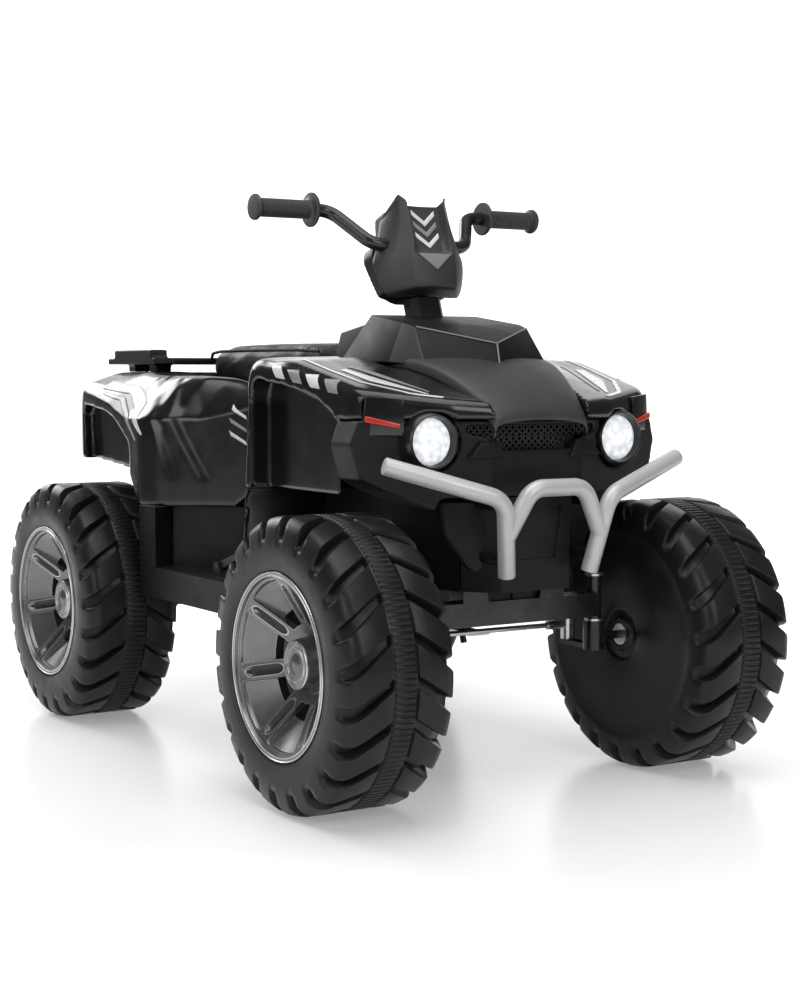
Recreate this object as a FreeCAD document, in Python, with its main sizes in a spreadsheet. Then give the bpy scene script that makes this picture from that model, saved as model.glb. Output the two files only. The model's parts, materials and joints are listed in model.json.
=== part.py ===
import FreeCAD, Part
import math
import os
import re
import Sketcher
from FreeCAD import Placement, Rotation, Vector

# Electric ride-on quad bike for a child, in millimetres.
# The front faces -Y, the rider's right is -X, +Z is up and the ground is Z = 0.
# Pieces of the steering are drawn in the raked frame of the steering shaft: its Z runs up the shaft.

SIZES = [
    # wheels
    ("wheelbase", 688.0, "front axle to rear axle"),
    ("half_width", 307.0, "centre plane to a wheel's outer face"),
    ("wheel_width", 135.0, "wheel across its two faces"),
    ("tyre_radius", 165.0, "wheel over the lugs"),
    ("lugs", 22, "lugs round each half of the tread"),
    ("groove_depth", 8.0, "lug height"),
    ("groove_band", 9.0, "groove width beside the centre band"),
    ("groove_edge", 14.0, "groove width at the shoulder"),
    ("groove_skew", 36.0, "slant of a groove round the tread"),
    ("band_width", 30.0, "centre band between the lugs"),
    ("shoulder_drop", 5.0, "shoulder below the lugs"),
    ("side_drop", 19.0, "edge of the side face below the lugs"),
    ("shoulder_depth", 10.0, "shoulder in from the face"),
    ("crown_depth", 17.0, "crown edge in from the face"),
    ("wheel_wall", 4.5, "moulded wall of the wheel"),
    ("hub_radius", 20.0, "hub tube of the wheel"),
    ("bearing_radius", 13.0, "bearing seat"),
    ("bearing_width", 12.0, "bearing along the axle"),
    ("axle_radius", 5.0, "stub axles and rear axle"),
    ("running_fit", 0.05, "radial clearance of what turns on a pin"),
    ("cap_radius", 105.0, "hub cap in the wheel's mouth"),
    ("cap_gap", 0.4, "hub cap to the wheel's mouth"),
    ("cap_lip", 5.0, "bright lip of the hub cap"),
    ("cap_dish", 44.0, "depth of the dished spokes"),
    ("cap_body", 19.0, "hub cap along the axle"),
    ("spokes", 7, "spokes of a hub cap"),
    ("spoke_width", 25.0, "spoke across"),
    ("window_depth", 13.0, "panel between spokes below the spoke"),
    ("slot_width", 10.0, "sunk slot in a spoke"),
    ("slot_depth", 3.5, "sunk slot below the spoke"),
    ("boss_radius", 28.0, "hub boss"),
    ("boss_height", 14.0, "hub boss above the foot of the spokes"),
    ("axle_end", 50.0, "axle end in from the wheel's outer face"),
    ("nut_radius", 9.0, "axle nut over its flats"),
    ("nut_length", 8.0, "axle nut along the axle"),
    # tub
    ("clearance", 188.0, "ground to the sill"),
    ("sill_height", 40.0, "sill up to the foot floor"),
    ("sill_half", 238.0, "centre plane to the sill's face"),
    ("tub_half", 116.0, "centre plane to the side of the tub"),
    ("tub_top", 345.0, "ground to the tub's rim"),
    ("tub_bottom", 176.0, "ground to the tub's underside"),
    ("tub_nose_half", 80.0, "tub at its front wall"),
    ("tub_nose", 21.0, "tub's front wall ahead of the front axle"),
    ("tub_tail", 56.0, "tub's rear wall behind the rear axle"),
    ("nose_bottom", 236.0, "ground to the tub over the front axle"),
    ("wall", 4.0, "moulded wall"),
    ("well_front", 240.0, "front of the foot floor behind the front axle"),
    ("well_rear", 172.0, "rear of the foot floor ahead of the rear axle"),
    ("heel_height", 80.0, "heel block above the foot floor"),
    ("heel_slant", 0.718, "run of the slanted heel wall, as a part of the floor behind the pedal"),
    ("pillar_radius", 8.0, "screw pillar under the hood"),
    ("pillar_half", 66.0, "centre plane to a screw pillar"),
    # body
    ("deck", 466.0, "ground to the seat deck"),
    ("fender_half", 235.0, "centre plane to the fender's rear edge"),
    ("fender_crest", 39.0, "fender's crest above the deck"),
    ("fender_front_half", 206.0, "centre plane to the fender's front corner"),
    ("fender_inner", 112.0, "centre plane to the fender's inner edge"),
    ("flare", 29.0, "depth of the flare over the wheel"),
    ("fender_round", 14.0, "rounded outer edge of the fender"),
    ("crest_round", 120.0, "arc over the crest of a fender"),
    ("corner_round", 40.0, "rounded corner of a body panel in plan"),
    ("shoulder_round", 30.0, "rounded shoulder of a body panel from the side"),
    ("hip_round", 22.0, "rounded upper edge of the rear body"),
    ("panel_half", 203.0, "centre plane to the sunk side panel"),
    ("panel_bottom", 347.0, "ground to the edge over the wheel"),
    ("hip_half", 236.0, "centre plane to the rear fender"),
    ("tail_half", 206.0, "centre plane to the rear corner"),
    ("tail", 100.0, "rear body behind the rear axle"),
    ("rear_crest", 21.0, "rear fender above the deck"),
    ("dome_half", 83.0, "top of the dome to the centre plane"),
    ("dome_rise", 91.0, "dome above the deck"),
    ("hood_foot", 12.0, "hood's rim above the deck"),
    ("panel_gap", 0.6, "seam between body panels"),
    ("nose_reach", 73.0, "nose ahead of the front axle"),
    ("nose_half", 64.0, "nose panel at its front edge"),
    ("nose_drop", 36.0, "nose panel's front edge below the deck"),
    ("neck_hole", 29.0, "hood's opening round the neck"),
    ("fascia_half", 216.0, "fascia's outer corner"),
    ("fascia_height", 88.0, "fascia above the tub's rim"),
    ("fascia_front", 61.0, "fascia ahead of the front axle"),
    ("lamp_x", 129.0, "headlight from the centre plane"),
    ("lamp_z", 408.0, "headlight above the ground"),
    ("lamp_front", 34.0, "headlight's face ahead of the front axle"),
    ("lens_radius", 25.0, "headlight lens"),
    ("bezel_radius", 33.0, "headlight bezel"),
    ("bezel_depth", 16.0, "headlight bezel along its axis"),
    ("grille_half", 104.0, "grille mesh along its top"),
    ("grille_low_half", 58.0, "grille mesh along its foot"),
    ("grille_height", 36.0, "grille mesh"),
    ("mesh_pitch", 13.0, "diamonds of the grille"),
    ("mesh_bar", 2.6, "bar between diamonds"),
    ("mesh_thick", 3.0, "grille plate"),
    ("marker_height", 11.0, "marker lens"),
    ("skirt_half", 48.0, "front skirt's flat face"),
    ("bumper_radius", 10.0, "bumper tube"),
    ("bumper_bend", 26.0, "bend of the bumper tube"),
    ("bumper_front", 103.0, "bumper ahead of the front axle"),
    ("bumper_drop", 88.0, "bumper's foot below its knee"),
    ("bumper_rise", 40.0, "bumper's outer end above its knee"),
    # seat and rack
    ("pan_thick", 6.0, "seat pan"),
    ("seat_half", 92.0, "seat across its widest"),
    ("seat_front", 304.0, "front of the seat behind the front axle"),
    ("seat_rear", 59.0, "rear of the seat ahead of the rear axle"),
    ("seat_thick", 46.0, "cushion at its crown"),
    ("rack_half", 150.0, "rack from the centre plane"),
    ("rack_length", 216.0, "rack front to back"),
    ("rack_thick", 9.0, "rack plate"),
    ("rack_rail", 12.0, "rack's side rail above the plate"),
    ("rack_lift", 11.0, "rack above the rear fenders"),
    ("post_width", 24.0, "rack post"),
    # steering
    ("rake", 19.0, "steering shaft from the upright, degrees"),
    ("foot_back", 54.0, "foot of the shaft behind the front axle"),
    ("foot_z", 200.0, "foot of the shaft above the ground"),
    ("shaft_radius", 8.0, "steering shaft"),
    ("shaft_length", 474.0, "shaft up to the bar clamp"),
    ("crank_reach", 45.0, "crank pin from the shaft"),
    ("crank_thick", 6.0, "crank arm"),
    ("pin_radius", 4.0, "crank pin and arm pins"),
    ("arm_reach", 52.0, "steering arm from the king pin"),
    ("king_x", 132.0, "king pin from the centre plane"),
    ("king_radius", 6.0, "king pin"),
    ("sleeve_radius", 9.0, "king pin sleeve of the beam"),
    ("sleeve_height", 52.0, "king pin sleeve"),
    ("beam_bottom", 192.0, "ground to the axle beam"),
    ("beam_height", 28.0, "axle beam"),
    ("beam_depth", 30.0, "axle beam front to back"),
    ("washer_radius", 11.5, "king pin washer"),
    ("washer_thick", 2.6, "king pin washer"),
    ("rod_radius", 3.2, "tie rod"),
    ("rod_sleeve", 5.5, "tie rod's end sleeve"),
    ("bar_radius", 8.2, "handlebar tube"),
    ("bar_bend", 24.0, "bend of the handlebar tube"),
    ("bar_low", 463.0, "middle of the bar up the shaft"),
    ("bar_ahead", 17.0, "middle of the bar ahead of the shaft"),
    ("grip_rise", 56.0, "grips above the middle of the bar"),
    ("grip_back", 14.0, "grips behind the shaft"),
    ("grip_inner", 126.0, "inner end of a grip"),
    ("grip_outer", 209.0, "outer end of a grip"),
    ("grip_radius", 11.5, "grip"),
    ("grip_flange", 21.5, "grip's inner flange"),
    ("grip_end", 16.0, "grip's end flange"),
    ("dash_top", 517.0, "ears of the dash up the shaft"),
    ("dash_foot", 397.0, "foot of the dash up the shaft"),
    ("dash_half", 68.0, "dash across its wings"),
    ("dash_face", 45.0, "dash's upper face ahead of the shaft"),
    ("dash_chin", 61.0, "dash's chin ahead of the shaft"),
    ("dash_split", 4.0, "seam of the two dash covers ahead of the shaft"),
    ("dash_back", 22.0, "back of the dash behind the shaft"),
    ("neck_half", 23.0, "steering neck across"),
    ("neck_deep", 15.0, "steering neck front to back, half"),
    ("neck_length", 52.0, "steering neck"),
    ("button_radius", 7.0, "start and horn buttons"),
    ("button_gap", 0.4, "button to its hole"),
    ("button_proud", 4.0, "button above the panel"),
    ("rocker_half", 6.5, "rocker switch across, half"),
    ("rocker_tall", 10.0, "rocker switch along, half"),
    # drive and electrics
    ("gearbox_half", 46.0, "gearbox along the axle"),
    ("gearbox_radius", 32.0, "gearbox round the axle"),
    ("motor_radius", 19.0, "motor"),
    ("motor_length", 62.0, "motor"),
    ("motor_ahead", 72.0, "motor ahead of the rear axle"),
    ("motor_z", 216.0, "motor above the ground"),
    ("dog_radius", 30.0, "drive dog"),
    ("dog_thick", 4.0, "drive dog's toothed disc"),
    ("battery_long", 150.0, "battery front to back"),
    ("battery_wide", 65.0, "battery across, half"),
    ("battery_tall", 95.0, "battery"),
    ("box_tall", 46.0, "control box"),
    ("pedal_wide", 62.0, "pedal across"),
    ("pedal_long", 78.0, "pedal front to back"),
    ("pedal_rise", 30.0, "pedal's toe above its hinge"),
    ("pedal_thick", 6.0, "pedal plate"),
    ("pedal_pin", 3.0, "pedal's hinge pin"),
    ("pedal_x", 178.0, "pedal from the centre plane"),
    ("socket_radius", 8.0, "charge socket"),
]

doc = FreeCAD.newDocument("kids_quad_bike")
sheet = doc.addObject("Spreadsheet::Sheet", "Sizes")
for row, (alias, value, meaning) in enumerate(SIZES, start=1):
    sheet.set(f"A{row}", alias)
    sheet.set(f"B{row}", str(value))
    sheet.setAlias(f"B{row}", alias)
    sheet.set(f"C{row}", meaning)
doc.recompute()

ALIASES = {alias for alias, value, meaning in SIZES}
NODES = []

# Places that several pieces share, as expressions in the sheet's names.
FRONT = "(-wheelbase / 2)"
REAR = "(wheelbase / 2)"
FLOOR = "(clearance + sill_height)"
WELL_FRONT = f"({FRONT} + well_front)"
WELL_REAR = f"({REAR} - well_rear)"
CREST = "(deck + fender_crest)"
TAIL = f"({REAR} + tail)"
INNER_FACE = "(half_width - wheel_width)"
FASCIA_TOP = "(tub_top + fascia_height)"
SEAT_FRONT = f"({FRONT} + seat_front)"
SEAT_REAR = f"({REAR} - seat_rear)"
PEDAL_BACK = f"({WELL_FRONT} + wall + pedal_long + 8 * pedal_pin)"
HEEL_RUN = f"(({WELL_REAR} - {PEDAL_BACK}) * heel_slant)"
RACK_FOOT = "(deck + rear_crest)"
SLEEVE_FOOT = "(beam_bottom - 4)"


def cell(alias):
    """A driving size as a plain number."""
    return float(getattr(sheet, alias))


def bound(text):
    """The expression with each size's name pointed at the sheet."""
    return re.sub(r"[a-z_]+", lambda word: f"Sizes.{word[0]}" if word[0] in ALIASES else word[0], str(text))


def bind(thing, **values):
    """Tie properties to expressions; a double underscore stands for a dot in a property's path."""
    for path, text in values.items():
        thing.setExpression(path.replace("__", "."), bound(text))
    return thing


def node(thing, label):
    """Keep an object as a sub-part under its own label."""
    thing.Label = label
    NODES.append(thing)
    return thing


def place(thing, x=0, y=0, z=0):
    return bind(thing, Placement__Base__x=x, Placement__Base__y=y, Placement__Base__z=z)


def raked(thing):
    """Stand a piece in the steering shaft's frame."""
    place(thing, 0, f"{FRONT} + foot_back", "foot_z")
    thing.Placement.Rotation = Rotation(Vector(1, 0, 0), -1)
    return bind(thing, Placement__Rotation__Angle="rake * -1 deg / 1 deg")


def body(name):
    return doc.addObject("PartDesign::Body", name)


def outline(owner, plane, corners, level=0):
    """A closed outline on one of the body's origin planes, each corner a pair of expressions."""
    sketch = owner.newObject("Sketcher::SketchObject", f"{owner.Name}_outline")
    support = next(item for item in owner.Origin.OriginFeatures if item.Role == f"{plane}_Plane")
    sketch.AttachmentSupport = [(support, "")]
    sketch.MapMode = "FlatFace"
    bind(sketch, AttachmentOffset__Base__z=level)
    count = len(corners)
    ring = [Vector(math.cos(math.tau * k / count), math.sin(math.tau * k / count), 0) for k in range(count)]
    sketch.addGeometry([Part.LineSegment(ring[k], ring[(k + 1) % count]) for k in range(count)], False)
    rules = [Sketcher.Constraint("Coincident", k, 2, (k + 1) % count, 1) for k in range(count)]
    for k, point in enumerate(ring):
        rules.append(Sketcher.Constraint("DistanceX", -1, 1, k, 1, point.x))
        rules.append(Sketcher.Constraint("DistanceY", -1, 1, k, 1, point.y))
    sketch.addConstraint(rules)
    for k, (across, up) in enumerate(corners):
        sketch.setExpression(f"Constraints[{count + 2 * k}]", bound(across))
        sketch.setExpression(f"Constraints[{count + 2 * k + 1}]", bound(up))
    return sketch


def disc(owner, plane, across, up, radius, level=0):
    """A circle on one of the body's origin planes."""
    sketch = owner.newObject("Sketcher::SketchObject", f"{owner.Name}_circle")
    support = next(item for item in owner.Origin.OriginFeatures if item.Role == f"{plane}_Plane")
    sketch.AttachmentSupport = [(support, "")]
    sketch.MapMode = "FlatFace"
    bind(sketch, AttachmentOffset__Base__z=level)
    sketch.addGeometry(Part.Circle(Vector(1, 1, 0), Vector(0, 0, 1), 1), False)
    sketch.addConstraint([
        Sketcher.Constraint("DistanceX", -1, 1, 0, 3, 1),
        Sketcher.Constraint("DistanceY", -1, 1, 0, 3, 1),
        Sketcher.Constraint("Radius", 0, 1),
    ])
    for k, text in enumerate((across, up, radius)):
        sketch.setExpression(f"Constraints[{k}]", bound(text))
    return sketch


def extrude(kind, sketch, length, both=False, back=False):
    """Pad or pocket a sketch by a length, one way, the other way or both ways."""
    owner = sketch.getParentGeoFeatureGroup()
    feature = owner.newObject(f"PartDesign::{kind}", f"{owner.Name}_{kind.lower()}")
    feature.Profile = sketch
    feature.SideType = "Symmetric" if both else "One side"
    feature.Reversed = back
    bind(feature, Length=length)
    sketch.Visibility = False
    return feature


def pad(sketch, length, both=False, back=False):
    return extrude("Pad", sketch, length, both, back)


def pocket(sketch, length, both=False, back=False):
    return extrude("Pocket", sketch, length, both, back)


def turned(owner, plane, corners, axis):
    """Revolve an outline round one of its sketch's axes."""
    sketch = outline(owner, plane, corners)
    feature = owner.newObject("PartDesign::Revolution", f"{owner.Name}_turned")
    feature.Profile = sketch
    feature.ReferenceAxis = (sketch, [axis])
    feature.Angle = 360.0
    sketch.Visibility = False
    return feature


def runs_through(edge, spot, push):
    """Whether a straight edge lies along a direction through a spot."""
    if len(edge.Vertexes) < 2 or not isinstance(edge.Curve, Part.Line):
        return False
    away = edge.Vertexes[0].Point - spot
    return abs(edge.Curve.Direction.dot(push)) > 0.999 and away.cross(push).Length < 0.01


def soften(feature, radius, *corners):
    """Round the edges that a pad leaves at these corners of its outline."""
    doc.recompute()
    sketch = feature.Profile[0]
    push = sketch.Placement.Rotation.multVec(Vector(0, 0, 1))
    spots = [sketch.Placement.multVec(sketch.Geometry[k].StartPoint) for k in corners]
    owner = feature.getParentGeoFeatureGroup()
    last = owner.Tip
    soft = owner.newObject("PartDesign::Fillet", f"{owner.Name}_soft")
    soft.Base = (last, [f"Edge{k}" for k, edge in enumerate(last.Shape.Edges, start=1)
                        if any(runs_through(edge, spot, push) for spot in spots)])
    bind(soft, Radius=radius)


def rimmed(name, base, radius, is_top, is_side):
    """The base with each edge rounded where a top face meets a side face; the tests read a face's normal."""
    doc.recompute()
    chosen = []
    for k, edge in enumerate(base.Shape.Edges, start=1):
        middle = edge.valueAt((edge.FirstParameter + edge.LastParameter) / 2)
        faces = base.Shape.ancestorsOfType(edge, Part.Face)
        normals = [face.normalAt(*face.Surface.parameter(middle)) for face in faces]
        if any(is_top(one) and is_side(two) for one, two in (normals, normals[::-1])):
            chosen.append((k, cell(radius), cell(radius)))
    thing = doc.addObject("Part::Fillet", name)
    thing.Base = base
    thing.Edges = chosen
    return thing


def mirrored(count, *corners):
    """Corners of a right half of so many corners, with those of its mirror image."""
    return [*corners, *(2 * count - 1 - k for k in corners)]


def both_sides(corners):
    """An outline's right half, given from the centre plane outwards, with its mirror image added."""
    return [(f"-({x})", y) for x, y in corners] + [(x, y) for x, y in reversed(corners)]


def box(name, x, y, z, low):
    thing = doc.addObject("Part::Box", name)
    bind(thing, Length=x, Width=y, Height=z)
    return place(thing, *low)


def rod(name, radius, length, start, along="Z"):
    """A round bar from a start point along an axis of the part."""
    thing = doc.addObject("Part::Cylinder", name)
    bind(thing, Radius=radius, Height=length)
    turns = {"X": Rotation(Vector(0, 1, 0), 90), "Y": Rotation(Vector(1, 0, 0), -90), "Z": Rotation()}
    thing.Placement = Placement(Vector(), turns[along])
    return place(thing, *start)


def fused(name, *items):
    thing = doc.addObject("Part::MultiFuse", name)
    thing.Shapes = list(items)
    thing.Refine = True
    return thing


def cut(name, base, *tools):
    """The base less each tool in turn."""
    for k, tool in enumerate(tools, start=1):
        thing = doc.addObject("Part::Cut", name if k == len(tools) else f"{name}_step")
        thing.Base = base
        thing.Tool = tool
        base = thing
    return base


def common(name, *items):
    thing = doc.addObject("Part::MultiCommon", name)
    thing.Shapes = list(items)
    return thing


def grouped(label, *items):
    """Separate solids of the same kind kept as one object."""
    thing = doc.addObject("Part::Compound", label)
    thing.Links = list(items)
    return thing


def twin(source, name):
    """The mirror image of a right-hand piece."""
    thing = doc.addObject("Part::Mirroring", name)
    thing.Source = source
    thing.Normal = Vector(1, 0, 0)
    return thing


def left_and_right(source, label):
    """Two sub-parts: a right-hand piece and its mirror image."""
    node(source, f"{label}_right")
    node(twin(source, f"{label}_left"), f"{label}_left")


def pair(source, label):
    """One sub-part of two solids: a right-hand piece and its mirror image."""
    node(grouped(label, source, twin(source, f"{label}_twin")), label)


def shaped(name, shape):
    """An object for a form that no feature makes, such as a bent tube or a tread."""
    thing = doc.addObject("Part::Feature", name)
    thing.Shape = shape
    return thing


def polygon_loft(name, facets, sections):
    """A ruled solid through polygons whose flats lie on the given radii, along Z."""
    thing = doc.addObject("Part::Loft", name)
    rings = []
    for level, radius in sections:
        ring = doc.addObject("Part::RegularPolygon", f"{name}_ring")
        bind(ring, Polygon=facets, Circumradius=f"({radius}) / cos(180 deg / ({facets}))")
        bind(ring, Placement__Base__z=level)
        ring.Placement.Rotation = Rotation(Vector(0, 0, 1), 1)
        bind(ring, Placement__Rotation__Angle=f"180 / ({facets})")
        ring.Visibility = False
        rings.append(ring)
    thing.Sections = rings
    thing.Solid = True
    thing.Ruled = True
    return thing


def bent_tube(points, radius, bend):
    """A round tube along straight runs that tangent arcs join."""
    edges = []
    start = points[0]
    for before, corner, after in zip(points, points[1:], points[2:]):
        into = (before - corner).normalize()
        out = (after - corner).normalize()
        half = into.getAngle(out) / 2
        reach = bend / math.tan(half)
        middle = corner + (into + out).normalize() * (bend / math.sin(half) - bend)
        edges.append(Part.LineSegment(start, corner + into * reach).toShape())
        edges.append(Part.Arc(corner + into * reach, middle, corner + out * reach).toShape())
        start = corner + out * reach
    edges.append(Part.LineSegment(start, points[-1]).toShape())
    path = Part.Wire(edges)
    ring = Part.Wire(Part.makeCircle(radius, points[0], points[1] - points[0]))
    return path.makePipeShell([ring], True, False)


def prism(corners, push):
    """A flat outline pushed along a vector."""
    return Part.Face(Part.makePolygon(corners + corners[:1])).extrude(push)


# Wheels, drawn along Z from the outer face at Z = 0

def groove_tool(across_tread):
    """The slanted groove between two lugs at the +X side of a wheel; half a tread, from the band outwards."""
    floor = cell("tyre_radius") - cell("groove_depth")
    middle = cell("wheel_width") / 2
    inner = middle - across_tread * cell("band_width") / 2
    outer = middle - across_tread * (middle + cell("groove_depth"))
    near = cell("groove_band") / 2
    far = cell("groove_edge") / 2
    skew = cell("groove_skew")
    corners = [(inner, -near), (inner, near), (outer, skew + far), (outer, skew - far)]
    return prism([Vector(floor, y, z) for z, y in corners], Vector(3 * cell("groove_depth"), 0, 0))


def tread_grooves():
    count = int(cell("lugs"))
    tools = []
    for half in (1, -1):
        tool = groove_tool(half)
        for k in range(count):
            tools.append(tool.rotated(Vector(), Vector(0, 0, 1), 360 * (k + 0.5) / count))
    return shaped("tread_grooves", Part.makeCompound(tools))


def wheel_shell():
    """Outer skin with its lugs, hollow behind the hub cap, with the hub tube for the bearings."""
    skin = polygon_loft("wheel_skin", "2 * lugs", [
        ("0", "tyre_radius - side_drop"), ("shoulder_depth", "tyre_radius - shoulder_drop"),
        ("crown_depth", "tyre_radius"), ("wheel_width - crown_depth", "tyre_radius"),
        ("wheel_width - shoulder_depth", "tyre_radius - shoulder_drop"),
        ("wheel_width", "tyre_radius - side_drop"),
    ])
    inside = "tyre_radius - groove_depth - wheel_wall"
    hollow = polygon_loft("wheel_hollow", "lugs", [
        ("wheel_wall", f"{inside} - side_drop + groove_depth"), ("crown_depth + wheel_wall", inside),
        ("wheel_width - crown_depth - wheel_wall", inside),
        ("wheel_width - wheel_wall", f"{inside} - side_drop + groove_depth"),
    ])
    mouth = rod("wheel_mouth", "cap_radius + cap_gap", "2 * wheel_wall", (0, 0, "-wheel_wall / 2"))
    shell = cut("wheel_cut", skin, hollow, mouth)
    tube = rod("wheel_tube", "hub_radius", "wheel_width - axle_end - nut_length",
               (0, 0, "axle_end + nut_length"))
    bore = rod("wheel_bore", "bearing_radius", "wheel_width", (0, 0, "axle_end"))
    return cut("wheel_shell", fused("wheel_body", shell, tube), bore, tread_grooves())


def cap_tool(inner, outer, inner_half, outer_half, depth):
    """A sunk form in the dished face of the hub cap, its floor parallel to the spokes."""
    slope = cell("cap_dish") / (cell("cap_radius") - cell("cap_lip") - cell("boss_radius"))
    foot = cell("cap_dish") + cell("cap_lip")
    reach = inner - cell("boss_radius")
    span = outer - inner
    lows = (foot - reach * slope, foot - (reach + span) * slope)
    side = [Vector(inner, 0, lows[0] + depth), Vector(outer, 0, lows[1] + depth),
            Vector(outer, 0, lows[1] - 2 * depth), Vector(inner, 0, lows[0] - 2 * depth)]
    widest = max(inner_half, outer_half)
    ramp = prism([point - Vector(0, widest, 0) for point in side], Vector(0, 2 * widest, 0))
    tip = min(inner_half, outer_half) / 2
    plan = [(inner, -tip), (inner + tip, -inner_half), (outer - tip, -outer_half), (outer, -outer_half + tip),
            (outer, outer_half - tip), (outer - tip, outer_half), (inner + tip, inner_half), (inner, tip)]
    column = prism([Vector(x, y, -foot) for x, y in plan], Vector(0, 0, 3 * foot))
    return ramp.common(column)


def cap_recesses():
    """Windows between the spokes and a slot in each spoke."""
    count = int(cell("spokes"))
    pitch = math.pi / count
    inner = cell("boss_radius") * 1.6
    outer = cell("cap_radius") - 2.4 * cell("cap_lip")
    spare = cell("spoke_width") / 2
    window = cap_tool(inner, outer, inner * math.sin(pitch) - spare / 2, outer * math.sin(pitch) - spare,
                      cell("window_depth"))
    half = cell("slot_width") / 2
    slot = cap_tool(inner, outer, half, half, cell("slot_depth"))
    slot.rotate(Vector(), Vector(0, 0, 1), 180 / count)
    tools = []
    for k in range(count):
        for tool in (window, slot):
            tools.append(tool.rotated(Vector(), Vector(0, 0, 1), 360 * k / count))
    return shaped("cap_recesses", Part.makeCompound(tools))


def hub_cap():
    """Dished cap with spokes: a deep cone, its sunk windows, and a boss over the axle nut."""
    facets = "6 * spokes"
    rim = "cap_radius - cap_lip"
    foot = "cap_dish + cap_lip"
    back = polygon_loft("cap_back", facets, [
        ("0", "cap_radius"), ("wheel_wall", "cap_radius"), ("cap_body + cap_lip", rim),
        (f"{foot} + cap_body", "boss_radius + cap_lip"),
    ])
    dish = polygon_loft("cap_dish_tool", facets, [
        ("-cap_lip", f"{rim} + cap_lip / 2"), ("cap_lip", rim), (foot, "boss_radius"),
    ])
    boss = polygon_loft("cap_boss", facets, [
        (f"{foot} - boss_height", "boss_radius - cap_lip"),
        (f"{foot} - boss_height + cap_lip / 2", "boss_radius - cap_lip / 2"), (f"{foot} + 1", "boss_radius"),
    ])
    cup = rod("cap_cup", "nut_radius + cap_lip", f"{foot} + cap_body",
              (0, 0, f"{foot} - boss_height + cap_lip"))
    socket = rod("cap_socket", "hub_radius + cap_gap", f"{foot} + cap_body",
                 (0, 0, "axle_end + nut_length - cap_gap"))
    dished = cut("cap_dished", back, dish, cap_recesses())
    return cut("hub_cap", fused("cap_solid", dished, boss), cup, socket)


def wheel_place(thing, axle):
    """Stand a wheel piece on the right-hand side, its outer face outwards."""
    place(thing, "-half_width", axle, "tyre_radius")
    thing.Placement.Rotation = Rotation(Vector(0, 1, 0), 90)
    return thing


def bearing_rings():
    """The two bearings of a front wheel, flush with the ends of its hub tube."""
    rings = []
    for level in ("axle_end + nut_length", "wheel_width - bearing_width"):
        outer = rod("bearing_outer", "bearing_radius - running_fit", "bearing_width", (0, 0, level))
        inner = rod("bearing_inner", "axle_radius + running_fit", "bearing_width", (0, 0, level))
        rings.append(cut("bearing_ring", outer, inner))
    return grouped("bearing_rings", *rings)


def drive_dog():
    """Toothed disc on a rear wheel's inner face that the gearbox turns, with the bush in the hub tube."""
    reach = f"{INNER_FACE} - tub_half - wall - gearbox_half - panel_gap"
    dog = body("dog_body")
    pad(disc(dog, "XY", 0, 0, "dog_radius", "wheel_width"), "dog_thick")
    pad(disc(dog, "XY", 0, 0, "bearing_radius - running_fit", f"wheel_width + {reach}"),
        f"wheel_width - axle_end - nut_length + {reach}", back=True)
    doc.recompute()
    notch = outline(dog, "XY", [
        ("dog_radius * 0.7", "-wall"), ("dog_radius * 1.1", "-wall"), ("dog_radius * 1.1", "wall"),
        ("dog_radius * 0.7", "wall"),
    ], "wheel_width")
    first = pocket(notch, "dog_thick", back=True)
    ring = dog.newObject("PartDesign::PolarPattern", "dog_notches")
    ring.Originals = [first]
    ring.Axis = (next(item for item in dog.Origin.OriginFeatures if item.Role == "Z_Axis"), [""])
    ring.Angle = 360.0
    ring.Occurrences = 6
    dog.Tip = ring
    bore = rod("dog_bore", "axle_radius + running_fit", "2 * wheel_width", (0, 0, 0))
    return cut("dog_bored", dog, bore)


def wheels():
    shell = wheel_shell()
    cap = hub_cap()
    for end, axle in (("front", FRONT), ("rear", REAR)):
        for kind, source in (("tyre", shell), ("hub_cap", cap)):
            left_and_right(wheel_place(grouped(f"{kind}_{end}", source), axle), f"{kind}_{end}")
    left_and_right(wheel_place(bearing_rings(), FRONT), "wheel_bearings")
    left_and_right(wheel_place(drive_dog(), REAR), "drive_dog")


# Tub, skirt and body panels

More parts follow.
